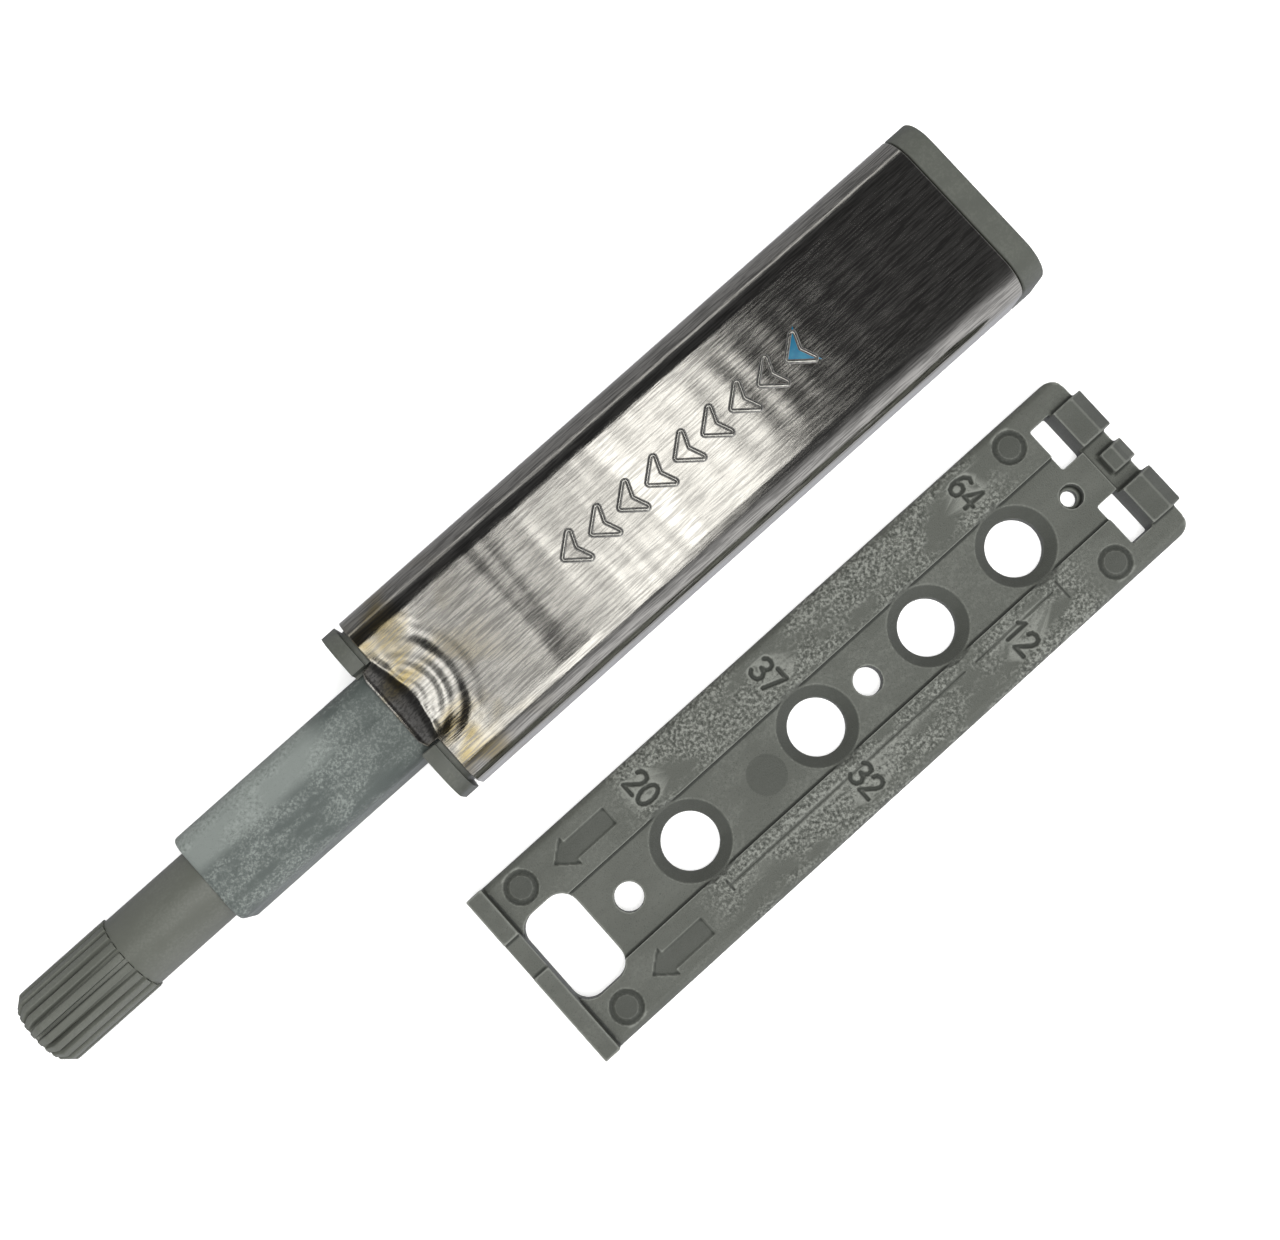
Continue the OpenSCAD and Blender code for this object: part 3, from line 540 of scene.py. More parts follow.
def makeCasing():
    c = casing
    columns = casingSection()
    rows = [c["front"] + c["fineRow"] * k for k in range(c["fineCount"])]
    lastFine = rows[-1]
    step = (c["back"] - lastFine) / c["coarseCount"]
    rows += [lastFine + step * k for k in range(1, c["coarseCount"] + 1)]
    bm = bmesh.new()
    grainMap = bm.loops.layers.uv.new("grain")
    measured = {}
    almostUp = 0.999

    def station(depth, column):
        y, z, ny, nz = column
        drop = tilt = 0
        if nz > almostUp:
            drop = topShape(depth, y)
            tilt = (topShape(depth + c["slopeStep"], y) - drop) / c["slopeStep"]
        normal = Vector((tilt, ny, nz)).normalized()
        wall = c["sheet"]
        if depth < c["front"]:
            wall -= c["lipThin"] * smoothStep(*c["lipReach"], depth)
        outer = Vector((-depth, y, z + drop))
        return outer, outer - normal * wall

    def addColumnPoint(store, key, depth, column):
        outer, inner = station(depth, column)
        store[key] = (bm.verts.new(outer), bm.verts.new(inner))

    grid = {}
    for j, column in enumerate(columns):
        if column[3] > almostUp and abs(column[0]) <= c["tabHalf"] + 1e-6:
            end = c["tabEnd"] + c["tabCurl"] * max(0, abs(column[0]) - c["tabFlat"])
            for k in range(c["tabRows"], 0, -1):
                depth = c["front"] - (c["front"] - end) * k / c["tabRows"]
                addColumnPoint(grid, (-k, j), depth, column)
        for i, depth in enumerate(rows):
            addColumnPoint(grid, (i, j), depth, column)
    for i, j in grid:
        square = [grid.get(key) for key in ((i, j), (i + 1, j), (i + 1, j + 1), (i, j + 1))]
        if all(square):
            bm.faces.new([p[0] for p in square])
            bm.faces.new([p[1] for p in reversed(square)])
    # walls between the outer and the inner skin, along every free edge
    partner = {a: b for a, b in grid.values()}
    for edge in [e for e in bm.edges if e.is_boundary and e.verts[0] in partner]:
        a, b = edge.verts
        bm.faces.new([b, a, partner[a], partner[b]])
    bmesh.ops.recalc_face_normals(bm, faces=bm.faces)
    lengths = [0]
    for a, b in zip(columns, columns[1:]):
        lengths.append(lengths[-1] + hypot(b[0] - a[0], b[1] - a[1]))
    for (i, j), pair in grid.items():
        for vertex in pair:
            measured[vertex] = lengths[j]
    for face in bm.faces:
        for loop in face.loops:
            loop[grainMap].uv = (-loop.vert.co.x / c["back"], measured[loop.vert] / c["back"])
    piece = finishPiece("casingShell", bm, latchOrigin, "casing", "brushed_sheet_steel",
                        ("steel_casing",), 50)
    softRim = piece.modifiers.new("rim", "BEVEL")
    softRim.width, softRim.segments = c["rim"] * mm, 2
    softRim.limit_method, softRim.angle_limit = "ANGLE", radians(c["rimAngle"])
    bakeModifiers(piece)


makeCasing()
print("steel casing made")


def cadCopy(node):
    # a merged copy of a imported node, in millimetres, without the triangles across its flat faces
    mergeWithin, flatWithin = 0.002, 0.5
    bm = bmesh.new()
    bm.from_mesh(frame["nodes"][node].data)
    bmesh.ops.remove_doubles(bm, verts=bm.verts, dist=mergeWithin * mm)
    bmesh.ops.scale(bm, vec=(1 / mm,) * 3, verts=bm.verts)
    bmesh.ops.dissolve_limit(bm, angle_limit=radians(flatWithin), verts=bm.verts, edges=bm.edges)
    return bm


# Stamped marks: a row of outlined arrowheads that point the way the plunger moves, the last one
# filled with enamel. They take up the length of the strip's middle and carry no lettering.
arrows = dict(count=9, first=25.0, spacing=3.6, width=4.8, tipLength=2.9, notch=1.0, line=0.25,
              proud=0.15, cornerRadius=0.25, enamelMiddle=0.9,
              enamelLevels=((-0.05, 0.9), (0.05, 0.9), (0.075, 0.8)))


def buildArrowTree():
    tree, given = startTree("stampedArrows", {
        "Int": ["Arrow Count"], "Vector": ["First At"], "Material": ["Finish"],
        "Float": ["Spacing", "Arrow Width", "Tip Length", "Notch Depth", "Corner Radius",
                  "Line Radius", "Flatness"]})
    half = addNode(tree, "ShaderNodeMath", {0: given["Arrow Width"], 1: 0.5}, operation="MULTIPLY")
    otherHalf = addNode(tree, "ShaderNodeMath", {0: given["Arrow Width"], 1: -0.5},
                        operation="MULTIPLY")
    point = addNode(tree, "ShaderNodeCombineXYZ", {"X": given["Tip Length"]})
    inner = addNode(tree, "ShaderNodeCombineXYZ", {"X": given["Notch Depth"]})
    left = addNode(tree, "ShaderNodeCombineXYZ", {"Y": half})
    right = addNode(tree, "ShaderNodeCombineXYZ", {"Y": otherHalf})
    outline = addNode(tree, "GeometryNodeCurvePrimitiveQuadrilateral",
                      {"Point 1": point, "Point 2": left,
                       "Point 3": inner, "Point 4": right}, mode="POINTS")
    rounded = addNode(tree, "GeometryNodeFilletCurve",
                      {"Curve": outline, "Count": 5, "Radius": given["Corner Radius"],
                       "Limit Radius": True}, mode="POLY")
    wire = addNode(tree, "GeometryNodeCurvePrimitiveCircle",
                   {"Resolution": 10, "Radius": given["Line Radius"]})
    ridge = addNode(tree, "GeometryNodeCurveToMesh",
                    {"Curve": rounded, "Profile Curve": wire.outputs["Curve"]})
    flat = addNode(tree, "ShaderNodeCombineXYZ", {"X": 1.0, "Y": 1.0, "Z": given["Flatness"]})
    pressed = addNode(tree, "GeometryNodeTransform",
                      {"Geometry": ridge, "Scale": flat})
    back = addNode(tree, "ShaderNodeMath", {0: given["Spacing"], 1: -1.0}, operation="MULTIPLY")
    stepBack = addNode(tree, "ShaderNodeCombineXYZ", {"X": back})
    row = addNode(tree, "GeometryNodeMeshLine",
                  {"Count": given["Arrow Count"], "Start Location": given["First At"],
                   "Offset": stepBack}, mode="OFFSET")
    placed = addNode(tree, "GeometryNodeInstanceOnPoints",
                     {"Points": row, "Instance": pressed})
    real = addNode(tree, "GeometryNodeRealizeInstances", {"Geometry": placed})
    dressed = addNode(tree, "GeometryNodeSetMaterial",
                      {"Geometry": real, "Material": given["Finish"]})
    addNode(tree, "NodeGroupOutput", {"Geometry": dressed})
    return tree


def makeArrows():
    c = arrows
    piece = addObject("stampedArrows", bpy.data.meshes.new("stampedArrows"))
    start = Vector((latchOrigin.x - c["first"], latchOrigin.y, casing["height"])) * mm
    runTree(piece, buildArrowTree(), {
        "Arrow Count": c["count"], "Spacing": c["spacing"] * mm, "First At": start,
        "Arrow Width": c["width"] * mm, "Tip Length": c["tipLength"] * mm,
        "Notch Depth": c["notch"] * mm, "Corner Radius": c["cornerRadius"] * mm,
        "Line Radius": c["line"] * mm, "Flatness": c["proud"] / c["line"],
        "Finish": finishes["pressed_edge"]})
    dressPiece(piece, "casing", "brushed_sheet_steel", (), 40)
    piece.data.materials[0] = finishes["pressed_edge"]
    # enamel in the last arrow, a hair under the ridge round it
    last = c["first"] + (c["count"] - 1) * c["spacing"]
    bm = bmesh.new()
    shape = [(c["tipLength"], 0), (0, -c["width"] / 2), (c["notch"], 0), (0, c["width"] / 2)]
    middle = c["enamelMiddle"]
    levels = [[bm.verts.new((-last + middle + (x - middle) * shrink, y * shrink,
                             casing["height"] + z)) for x, y in shape]
              for z, shrink in c["enamelLevels"]]
    joinRings(bm, levels, closed=False)
    bm.faces.new(levels[0])
    bm.faces.new(levels[-1])
    bmesh.ops.recalc_face_normals(bm, faces=bm.faces)
    enamel = finishPiece("enamelArrow", bm, latchOrigin, "casing", "brushed_sheet_steel")
    enamel.data.materials[0] = finishes["enamel"]


makeArrows()
print("stamped arrows made")


# Moulded body with its two ears, and the cap behind: every edge a little rounded, as moulded.
bodyEdges = dict(guide=0.22, cap=0.3, segments=3, angle=40)


def makeBevelled(name, node, width):
    piece = finishPiece(name, cadCopy(node), Vector(), "casing", "grey_moulding", (node,), 30)
    bevel = piece.modifiers.new("edges", "BEVEL")
    bevel.width, bevel.segments = width * mm, bodyEdges["segments"]
    bevel.limit_method, bevel.angle_limit = "ANGLE", radians(bodyEdges["angle"])
    bevel.harden_normals = True
    bakeModifiers(piece)


makeBevelled("mouldedBody", "guide_body", bodyEdges["guide"])
makeBevelled("rearCap", "rear_cap", bodyEdges["cap"])
print("moulded body and cap made")


# Outer sleeve: a flat-sided tube whose front edge is rounded, with a faint joint line of the mould.
sleeve = dict(width=10.2, height=9.6, corner=1.8, out=23.2, back=8.3, tenonEnd=11.7, tenon=6.5,
              bore=8.2, boreEnd=-15.0, stemBore=6.2, stemEnd=2.4, springBore=5.0, edge=0.45,
              seamHeight=0.09, seamReach=0.48, lead=0.3, perCorner=10, perSide=12, edgeSteps=5,
              rowLength=2.1, rowCount=14)


def makeSleeve():
    c = sleeve
    signs = ((1, 1), (-1, 1), (-1, -1), (1, -1))

    def cornerPoint(width, height, r, k, turn):
        a = pi / 2 * (k + turn)
        sy, sz = signs[k % 4]
        return Vector((sy * (width / 2 - r) + r * cos(a), sz * (height / 2 - r) + r * sin(a)))

    def roundedRect(width, height, r):
        points = []
        for k in range(4):
            points += [cornerPoint(width, height, r, k, t / c["perCorner"])
                       for t in range(c["perCorner"] + 1)]
            here, target = points[-1], cornerPoint(width, height, r, k + 1, 0)
            points += [here.lerp(target, t / c["perSide"]) for t in range(1, c["perSide"])]
        return points

    plan = [atan2(p.y, p.x) for p in roundedRect(c["width"], c["height"], c["corner"])]
    bm = bmesh.new()

    def outerRing(depth, inset=0):
        # the mould's joint line is a low ridge along the middle of the top
        ring = []
        shape = roundedRect(c["width"] - 2 * inset, c["height"] - 2 * inset, c["corner"] - inset)
        for p in shape:
            rise = c["seamHeight"] * max(0, 1 - abs(p.x) / c["seamReach"]) if p.y > 0 else 0
            ring.append(bm.verts.new((-depth, p.x, axisZ + p.y + rise)))
        return ring

    def roundRing(depth, diameter):
        return [bm.verts.new((-depth, diameter / 2 * cos(a), axisZ + diameter / 2 * sin(a)))
                for a in plan]

    lead = c["lead"]
    rings = [outerRing(c["back"] - c["rowLength"] * k) for k in range(c["rowCount"] + 1)]
    for k in range(c["edgeSteps"] + 1):
        a = pi / 2 * k / c["edgeSteps"]
        rings.append(outerRing(-c["out"] + c["edge"] * (1 - sin(a)), c["edge"] * (1 - cos(a))))
    rings += [roundRing(-c["out"], c["bore"] + 2 * lead), roundRing(-c["out"] + lead, c["bore"]),
              roundRing(c["boreEnd"], c["bore"]), roundRing(c["boreEnd"], c["stemBore"]),
              roundRing(c["stemEnd"], c["stemBore"]), roundRing(c["stemEnd"], c["springBore"]),
              roundRing(c["tenonEnd"], c["springBore"]), roundRing(c["tenonEnd"], c["tenon"]),
              roundRing(c["back"], c["tenon"])]
    joinRings(bm, rings)
    finishPiece("plungerSleeve", bm, latchOrigin, "plunger", "sleeve_moulding",
                ("plunger_sleeve",), 40)


makeSleeve()


# Rod that turns in the sleeve: smooth in front, a screw thread behind, one spigot for the tip.
rod = dict(out=33.7, spigot=5.0, spigotLength=5.0, diameter=8.0, shoulder=-21.5, core=5.3,
           thread=6.0, flank=0.3, pitch=1.5, threadStart=1.0, threadStop=1.2, end=-6.0,
           grooveAt=-22.35, grooveWide=1.0, grooveDeep=0.85, edge=0.12)


def makeRod():
    c = rod
    outline = [(-c["out"] - c["spigotLength"], 0), (-c["out"] - c["spigotLength"], c["spigot"] / 2),
               (-c["out"], c["spigot"] / 2), (-c["out"], c["diameter"] / 2)]
    grooveRadius = c["diameter"] / 2 - c["grooveDeep"]
    for side, radii in ((-1, (c["diameter"] / 2, grooveRadius)), (1, (grooveRadius, c["diameter"] / 2))):
        for radius in radii:
            outline.append((c["grooveAt"] + side * c["grooveWide"] / 2, radius))
    outline += [(c["shoulder"], c["diameter"] / 2), (c["shoulder"], c["core"] / 2)]
    start = c["shoulder"] + c["threadStart"]
    while start < c["end"] - c["threadStop"]:
        ridge = ((0, c["core"]), (1, c["thread"]), (2, c["thread"]), (3, c["core"]))
        outline += [(start + k * c["flank"], diameter / 2) for k, diameter in ridge]
        start += c["pitch"]
    outline += [(c["end"], c["core"] / 2), (c["end"], 0)]
    softened = [outline[0]] + roundCorners(outline, c["edge"], 2)[3:-3] + [outline[-1]]
    finishPiece("threadedRod", lathe(softened), latchOrigin, "tip", "rod_moulding",
                ("threaded_rod",), 30)


makeRod()


# Ribbed tip: a tube with ribs spaced evenly round it, which meet at a chamfer in front.
tip = dict(front=45.1, length=11.4, overRibs=8.4, ribDeep=0.4, ribs=20, grooveWide=0.5,
           chamfer=1.0, chamferIn=0.85, magnetBore=6.22, magnetDepth=4.2, spigotBore=5.05,
           spigotDepth=5.2, ribRound=0.16, faceIn=0.05, innerBore=1.2, edge=0.1, segments=120)


def buildRibTree():
    tree, given = startTree("ribsRoundTip", {
        "Int": ["Rib Count"], "Material": ["Finish"],
        "Float": ["Rib Width", "Rib Height", "Corner Radius", "Core Radius", "Axis Height",
                  "Front", "Back", "Chamfer Length", "Chamfer Depth"]})
    sunk = addNode(tree, "ShaderNodeMath", {0: given["Rib Height"], 1: 2.0}, operation="MULTIPLY")
    section = addNode(tree, "GeometryNodeCurvePrimitiveQuadrilateral",
                      {"Width": given["Rib Width"], "Height": sunk})
    rounded = addNode(tree, "GeometryNodeFilletCurve",
                      {"Curve": section, "Radius": given["Corner Radius"], "Count": 4,
                       "Limit Radius": True}, mode="POLY")
    startAt = addNode(tree, "ShaderNodeCombineXYZ", {"X": given["Front"]})
    endAt = addNode(tree, "ShaderNodeCombineXYZ", {"X": given["Back"]})
    line = addNode(tree, "GeometryNodeCurvePrimitiveLine",
                   {"Start": startAt, "End": endAt})
    spaced = addNode(tree, "GeometryNodeResampleCurve", {"Curve": line, "Count": 24})
    ribMesh = addNode(tree, "GeometryNodeCurveToMesh",
                      {"Curve": spaced, "Profile Curve": rounded,
                       "Fill Caps": True})
    ring = addNode(tree, "GeometryNodeMeshCircle",
                   {"Vertices": given["Rib Count"], "Radius": given["Core Radius"]})
    # the circle lies flat, so it's stood up across the axis before the ribs go on it
    stood = addNode(tree, "GeometryNodeTransform",
                    {"Geometry": ring, "Rotation": (0, pi / 2, 0)})
    spot = addNode(tree, "GeometryNodeInputPosition")
    parts = addNode(tree, "ShaderNodeSeparateXYZ", {"Vector": spot})
    turn = addNode(tree, "ShaderNodeMath", {0: parts.outputs["Z"], 1: parts.outputs["Y"]},
                   operation="ARCTAN2")
    aim = addNode(tree, "ShaderNodeCombineXYZ", {"X": turn})
    ribs = addNode(tree, "GeometryNodeInstanceOnPoints",
                   {"Points": stood, "Instance": ribMesh,
                    "Rotation": aim})
    real = addNode(tree, "GeometryNodeRealizeInstances", {"Geometry": ribs})
    lift = addNode(tree, "ShaderNodeCombineXYZ", {"Z": given["Axis Height"]})
    raised = addNode(tree, "GeometryNodeTransform",
                     {"Geometry": real, "Translation": lift})
    both = addNode(tree, "GeometryNodeJoinGeometry", {0: given["Geometry"]})
    tree.links.new(raised.outputs[0], both.inputs[0])
    # chamfer: points near the front draw in towards the axis
    here = addNode(tree, "GeometryNodeInputPosition")
    apart = addNode(tree, "ShaderNodeSeparateXYZ", {"Vector": here})
    begin = addNode(tree, "ShaderNodeMath", {0: given["Front"], 1: given["Chamfer Length"]},
                    operation="SUBTRACT")
    past = addNode(tree, "ShaderNodeMapRange",
                   {"Value": apart.outputs["X"], "From Min": begin,
                    "From Max": given["Front"], "To Min": 0.0, "To Max": given["Chamfer Depth"]})
    centred = addNode(tree, "ShaderNodeVectorMath", {0: here, 1: lift},
                      operation="SUBTRACT")
    across = addNode(tree, "ShaderNodeVectorMath", {0: centred, 1: (0, 1, 1)},
                     operation="MULTIPLY")
    outward = addNode(tree, "ShaderNodeVectorMath", {0: across}, operation="NORMALIZE")
    negative = addNode(tree, "ShaderNodeMath", {0: past, 1: -1.0}, operation="MULTIPLY")
    shift = addNode(tree, "ShaderNodeVectorMath", {0: outward, "Scale": negative}, operation="SCALE")
    reach = addNode(tree, "ShaderNodeVectorMath", {0: across}, operation="LENGTH")
    inner = addNode(tree, "ShaderNodeMath", {0: given["Core Radius"], 1: given["Rib Height"]},
                    operation="SUBTRACT")
    outside = addNode(tree, "FunctionNodeCompare", {0: reach.outputs["Value"], 1: inner},
                      data_type="FLOAT", operation="GREATER_THAN")
    moved = addNode(tree, "GeometryNodeSetPosition",
                    {"Geometry": both, "Selection": outside,
                     "Offset": shift})
    final = addNode(tree, "GeometryNodeRealizeInstances", {"Geometry": moved})
    dressed = addNode(tree, "GeometryNodeSetMaterial",
                      {"Geometry": final, "Material": given["Finish"]})
    addNode(tree, "NodeGroupOutput", {"Geometry": dressed})
    return tree


def makeTip():
    c = tip
    coreRadius = c["overRibs"] / 2 - c["ribDeep"]
    back = -c["front"] + c["length"]
    faceIn = -c["front"] + c["faceIn"]
    outline = [(faceIn, c["magnetBore"] / 2), (faceIn, coreRadius), (back, coreRadius),
               (back, c["spigotBore"] / 2), (back - c["spigotDepth"], c["spigotBore"] / 2),
               (back - c["spigotDepth"], c["innerBore"]),
               (-c["front"] + c["magnetDepth"], c["innerBore"]),
               (-c["front"] + c["magnetDepth"], c["magnetBore"] / 2)]
    bm = lathe(roundCorners(outline, c["edge"], 2), c["segments"])
    bmesh.ops.translate(bm, vec=latchOrigin, verts=bm.verts)
    bmesh.ops.scale(bm, vec=(mm,) * 3, verts=bm.verts)
    # the tree works round the x axis, so the piece is built there and moved sideways afterwards
    bmesh.ops.translate(bm, vec=(0, -latchOrigin.y * mm, 0), verts=bm.verts)
    piece = addFromBmesh("ribbedTip", bm)
    ribWidth = (pi * c["overRibs"] / c["ribs"]) - c["grooveWide"]
    runTree(piece, buildRibTree(), {
        "Rib Count": c["ribs"], "Rib Width": ribWidth * mm, "Rib Height": c["ribDeep"] * mm,
        "Corner Radius": c["ribRound"] * mm, "Core Radius": coreRadius * mm,
        "Axis Height": axisZ * mm, "Front": (latchOrigin.x + c["front"]) * mm,
        "Back": (latchOrigin.x - back) * mm, "Chamfer Length": c["chamfer"] * mm,
        "Chamfer Depth": c["chamferIn"] * mm, "Finish": finishes["rod_moulding"]})
    piece.data.transform(Matrix.Translation((0, latchOrigin.y * mm, 0)))
    dressPiece(piece, "tip", "rod_moulding", ("ribbed_tip",), 40)


makeTip()
print("plunger made")


# Mounting plate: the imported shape, its edges melted as a mould leaves them, then the fine marks.
plate = dict(voxel=0.125, melt=3, meltFactor=0.5, limit=190000, strokeHalf=0.17, strokeSoft=0.12,
             strokeDeep=0.2, digitHigh=2.4, digitWide=1.35, digitGap=0.35, lineDeep=0.06,
             # the scale, passes and keep numbers below spread the painted edge highlight and the painted
             # corner shade
             lineEdge=(0.05, 0.2), lineShade=0.5, cellSpare=0.1, sheenShadeScale=0.012,
             sheenShadePasses=2, sheenShadeKeep=0.5, stripTop=2.8, levelNormal=0.9,
             stripEdge=4.1, stripSoft=0.5, leastCrumb=(0.15, 0.1), crumbEnds=(17, 68), crumbSoft=2,
             # floors of the sunk arrows and rings, and the tops of the hooks: limits and shade
             sunkBetween=(2.7, 2.88), sunkFrom=2, sunkBeyond=4.6, sunkShade=0.5,
             hookFrom=75.6, hookAbove=3.05, hookShade=0.35,
             # painted shade in the countersinks, and darker spots on a flat disc and the ring marks:
             # place, radius, strength and highest z
             darkSpots=[(u, 0, 4.25, 0.5, 2.4) for u in (20, 37, 52, 64)]
             + [(30, 0.2, 2.1, 0.45, 2.6)]
             + [(u, v, 1.75, 0.6, 3.1) for u in (4.5, 70.2) for v in (-7.8, 7.8)])

# strokes of the plain figures, in a box one high and this wide
figureWide = 0.56
figures = {
    "0": [[(0.28 + 0.28 * cos(a * pi / 8), 0.5 + 0.5 * sin(a * pi / 8)) for a in range(17)]],
    "1": [[(0.08, 0.78), (0.32, 1.0), (0.32, 0.0)]],
    "2": [[(0.02, 0.78), (0.1, 0.94), (0.28, 1.0), (0.46, 0.93), (0.53, 0.75), (0.46, 0.55),
           (0.02, 0.0), (0.56, 0.0)]],
    "3": [[(0.03, 0.86), (0.14, 0.97), (0.28, 1.0), (0.46, 0.93), (0.51, 0.76), (0.43, 0.58),
           (0.25, 0.52), (0.45, 0.46), (0.55, 0.27), (0.46, 0.07), (0.28, 0.0), (0.12, 0.03),
           (0.02, 0.15)]],
    "4": [[(0.56, 0.3), (0.0, 0.3), (0.4, 1.0), (0.4, 0.0)]],
    "6": [[(0.48, 0.93), (0.3, 1.0), (0.1, 0.82), (0.02, 0.5), (0.02, 0.28), (0.12, 0.06),
           (0.28, 0.0), (0.46, 0.07), (0.55, 0.28), (0.47, 0.5), (0.28, 0.57), (0.1, 0.48),
           (0.02, 0.28)]],
    "7": [[(0.02, 1.0), (0.56, 1.0), (0.2, 0.0)]],
}
# each number with the place of its middle on the plate, as distance behind the front and offset
numbers = [("20", 19.9, -7.1), ("37", 36.65, -7.1), ("64", 63.9, -7.4), ("32", 37.0, 7.15),
           ("12", 58.1, 7.05)]
fineLines = [((20, 5.8), (51.5, 5.8)), ((53, 5.8), (63.4, 5.8)), ((64.4, 5.2), (64.4, 7.3)),
             ((20, 5.2), (20, 6.4))]


def plateStrokes():
    # every figure's strokes as short segments on the plate; a figure's foot points to the front
    c = plate
    strokes = []
    for text, u, v in numbers:
        wide = len(text) * c["digitWide"] + (len(text) - 1) * c["digitGap"]
        for k, figure in enumerate(text):
            left = v - wide / 2 + k * (c["digitWide"] + c["digitGap"])
            for path in figures[figure]:
                spots = [(u + (y - 0.5) * c["digitHigh"], left + x / figureWide * c["digitWide"])
                         for x, y in path]
                strokes += list(zip(spots, spots[1:]))
    return strokes


def segmentDistance(u, v, a, b):
    du, dv = b[0] - a[0], b[1] - a[1]
    t = min(1, max(0, ((u - a[0]) * du + (v - a[1]) * dv) / (du * du + dv * dv)))
    return hypot(u - a[0] - du * t, v - a[1] - dv * t)


def sortedByCell(segments, reach):
    # segments filed by the whole-millimetre squares that they may mark
    cells = {}
    for a, b in segments:
        (low, high), (left, right) = [(floor(min(pair) - reach), floor(max(pair) + reach) + 1)
                                      for pair in zip(a, b)]
        for i in range(low, high):
            for j in range(left, right):
                cells.setdefault((i, j), []).append((a, b))
    return cells


def readPoints(mesh):
    # places and normals of every point, as rows of three
    rows = []
    for field in ("co", "normal"):
        flat = np.empty(len(mesh.vertices) * 3)
        mesh.vertices.foreach_get(field, flat)
        rows.append(flat.reshape(-1, 3))
    return rows


def edgeSheenAndCreviceShade(mesh):
    # how far each point stands out of its neighbours: above 0 on outer edges, below 0 in corners; it
    # sets the painted highlight on edges and the painted shade in corners
    keep = plate["sheenShadeKeep"]
    count = len(mesh.vertices)
    spots, normals = readPoints(mesh)
    pairs = np.empty(len(mesh.edges) * 2, np.int64)
    mesh.edges.foreach_get("vertices", pairs)
    first, second = pairs.reshape(-1, 2).T
    ends, others = np.concatenate([first, second]), np.concatenate([second, first])
    degree = np.maximum(1, np.bincount(ends, minlength=count))
    centre = np.stack([np.bincount(ends, weights=spots[others, k], minlength=count) / degree
                       for k in range(3)], axis=1)
    tintAndShade = ((spots - centre) * normals).sum(axis=1) / plate["sheenShadeScale"]
    for _ in range(plate["sheenShadePasses"]):
        around = np.bincount(ends, weights=tintAndShade[others], minlength=count) / degree
        tintAndShade = keep * tintAndShade + (1 - keep) * around
    return np.clip(tintAndShade, -1, 1)


def makePlate():
    c = plate
    bm = cadCopy("mounting_plate")
    bmesh.ops.translate(bm, vec=-plateOrigin, verts=bm.verts)
    piece = addFromBmesh("mountingPlate", bm)
    skin = piece.modifiers.new("skin", "REMESH")
    skin.mode, skin.voxel_size = "VOXEL", c["voxel"]
    melt = piece.modifiers.new("melt", "SMOOTH")
    melt.iterations, melt.factor = c["melt"], c["meltFactor"]
    bakeModifiers(piece)
    mesh = piece.data
    print("plate skin:", len(mesh.vertices), "points")
    reach = c["strokeHalf"] + c["strokeSoft"] + c["cellSpare"]
    numberCells = sortedByCell(plateStrokes(), reach)
    lineCells = sortedByCell(fineLines, reach)
    count = len(mesh.vertices)
    spots, normals = readPoints(mesh)
    marksAndShade = np.zeros(count)
    level = normals[:, 2] > c["levelNormal"]
    for index in np.flatnonzero((spots[:, 2] > c["stripTop"]) & level):
        u, v = -spots[index, 0], spots[index, 1]
        cell = (floor(u), floor(v))
        sink = 0
        if cell in numberCells:
            near = min(segmentDistance(u, v, a, b) for a, b in numberCells[cell])
            mark = 1 - smoothStep(c["strokeHalf"] - c["strokeSoft"] / 2,
                                  c["strokeHalf"] + c["strokeSoft"], near)
            sink = c["strokeDeep"] * mark
            marksAndShade[index] = mark
        if cell in lineCells:
            near = min(segmentDistance(u, v, a, b) for a, b in lineCells[cell])
            mark = 1 - smoothStep(*c["lineEdge"], near)
            sink = max(sink, c["lineDeep"] * mark)
            marksAndShade[index] = max(marksAndShade[index], c["lineShade"] * mark)
        spots[index, 2] -= sink
    # painted shade in the countersinks, and darker flat disc and ring marks
    for u, v, reachOut, amount, ceiling in c["darkSpots"]:
        away = np.hypot(-spots[:, 0] - u, spots[:, 1] - v)
        marksAndShade[(away < reachOut) & (spots[:, 2] < ceiling)] = amount
    # painted shade on the floors of the sunk arrows; the rear hooks also look darker than the strips
    sunk = (spots[:, 2] > c["sunkBetween"][0]) & (spots[:, 2] < c["sunkBetween"][1]) & level
    sunk &= (np.abs(spots[:, 1]) > c["sunkBeyond"]) & (spots[:, 0] < -c["sunkFrom"])
    marksAndShade[sunk] = c["sunkShade"]
    marksAndShade[(spots[:, 0] < -c["hookFrom"]) & (spots[:, 2] > c["hookAbove"])] = c["hookShade"]
    mesh.vertices.foreach_set("co", spots.ravel())
    mesh.update()
    u, v = -spots[:, 0], np.abs(spots[:, 1])
    crumbly = np.clip((v - c["stripEdge"]) / c["stripSoft"], c["leastCrumb"][0], 1)
    for inside in (u - c["crumbEnds"][0], c["crumbEnds"][1] - u):
        crumbly *= np.clip(inside / c["crumbSoft"], c["leastCrumb"][1], 1)
    crumbly *= 1 - np.clip(marksAndShade * 2, 0, 1)
    fields = {"marksAndShade": marksAndShade, "crumbly": crumbly, "edgeSheenAndShade": edgeSheenAndCreviceShade(mesh)}
    for field, values in fields.items():
        layer = mesh.attributes.new(field, "FLOAT", "POINT")
        layer.data.foreach_set("value", np.ascontiguousarray(values, np.float32))
    count = sum(len(p.vertices) - 2 for p in mesh.polygons)
    thin = piece.modifiers.new("thin", "DECIMATE")
    thin.ratio = min(1, c["limit"] / count)
    bakeModifiers(piece)
    piece.data.transform(Matrix.Scale(mm, 4) @ Matrix.Translation(plateOrigin))
    dressPiece(piece, "plate", "plate_moulding", ("mounting_plate",), 60)


makePlate()
print("mounting plate made")

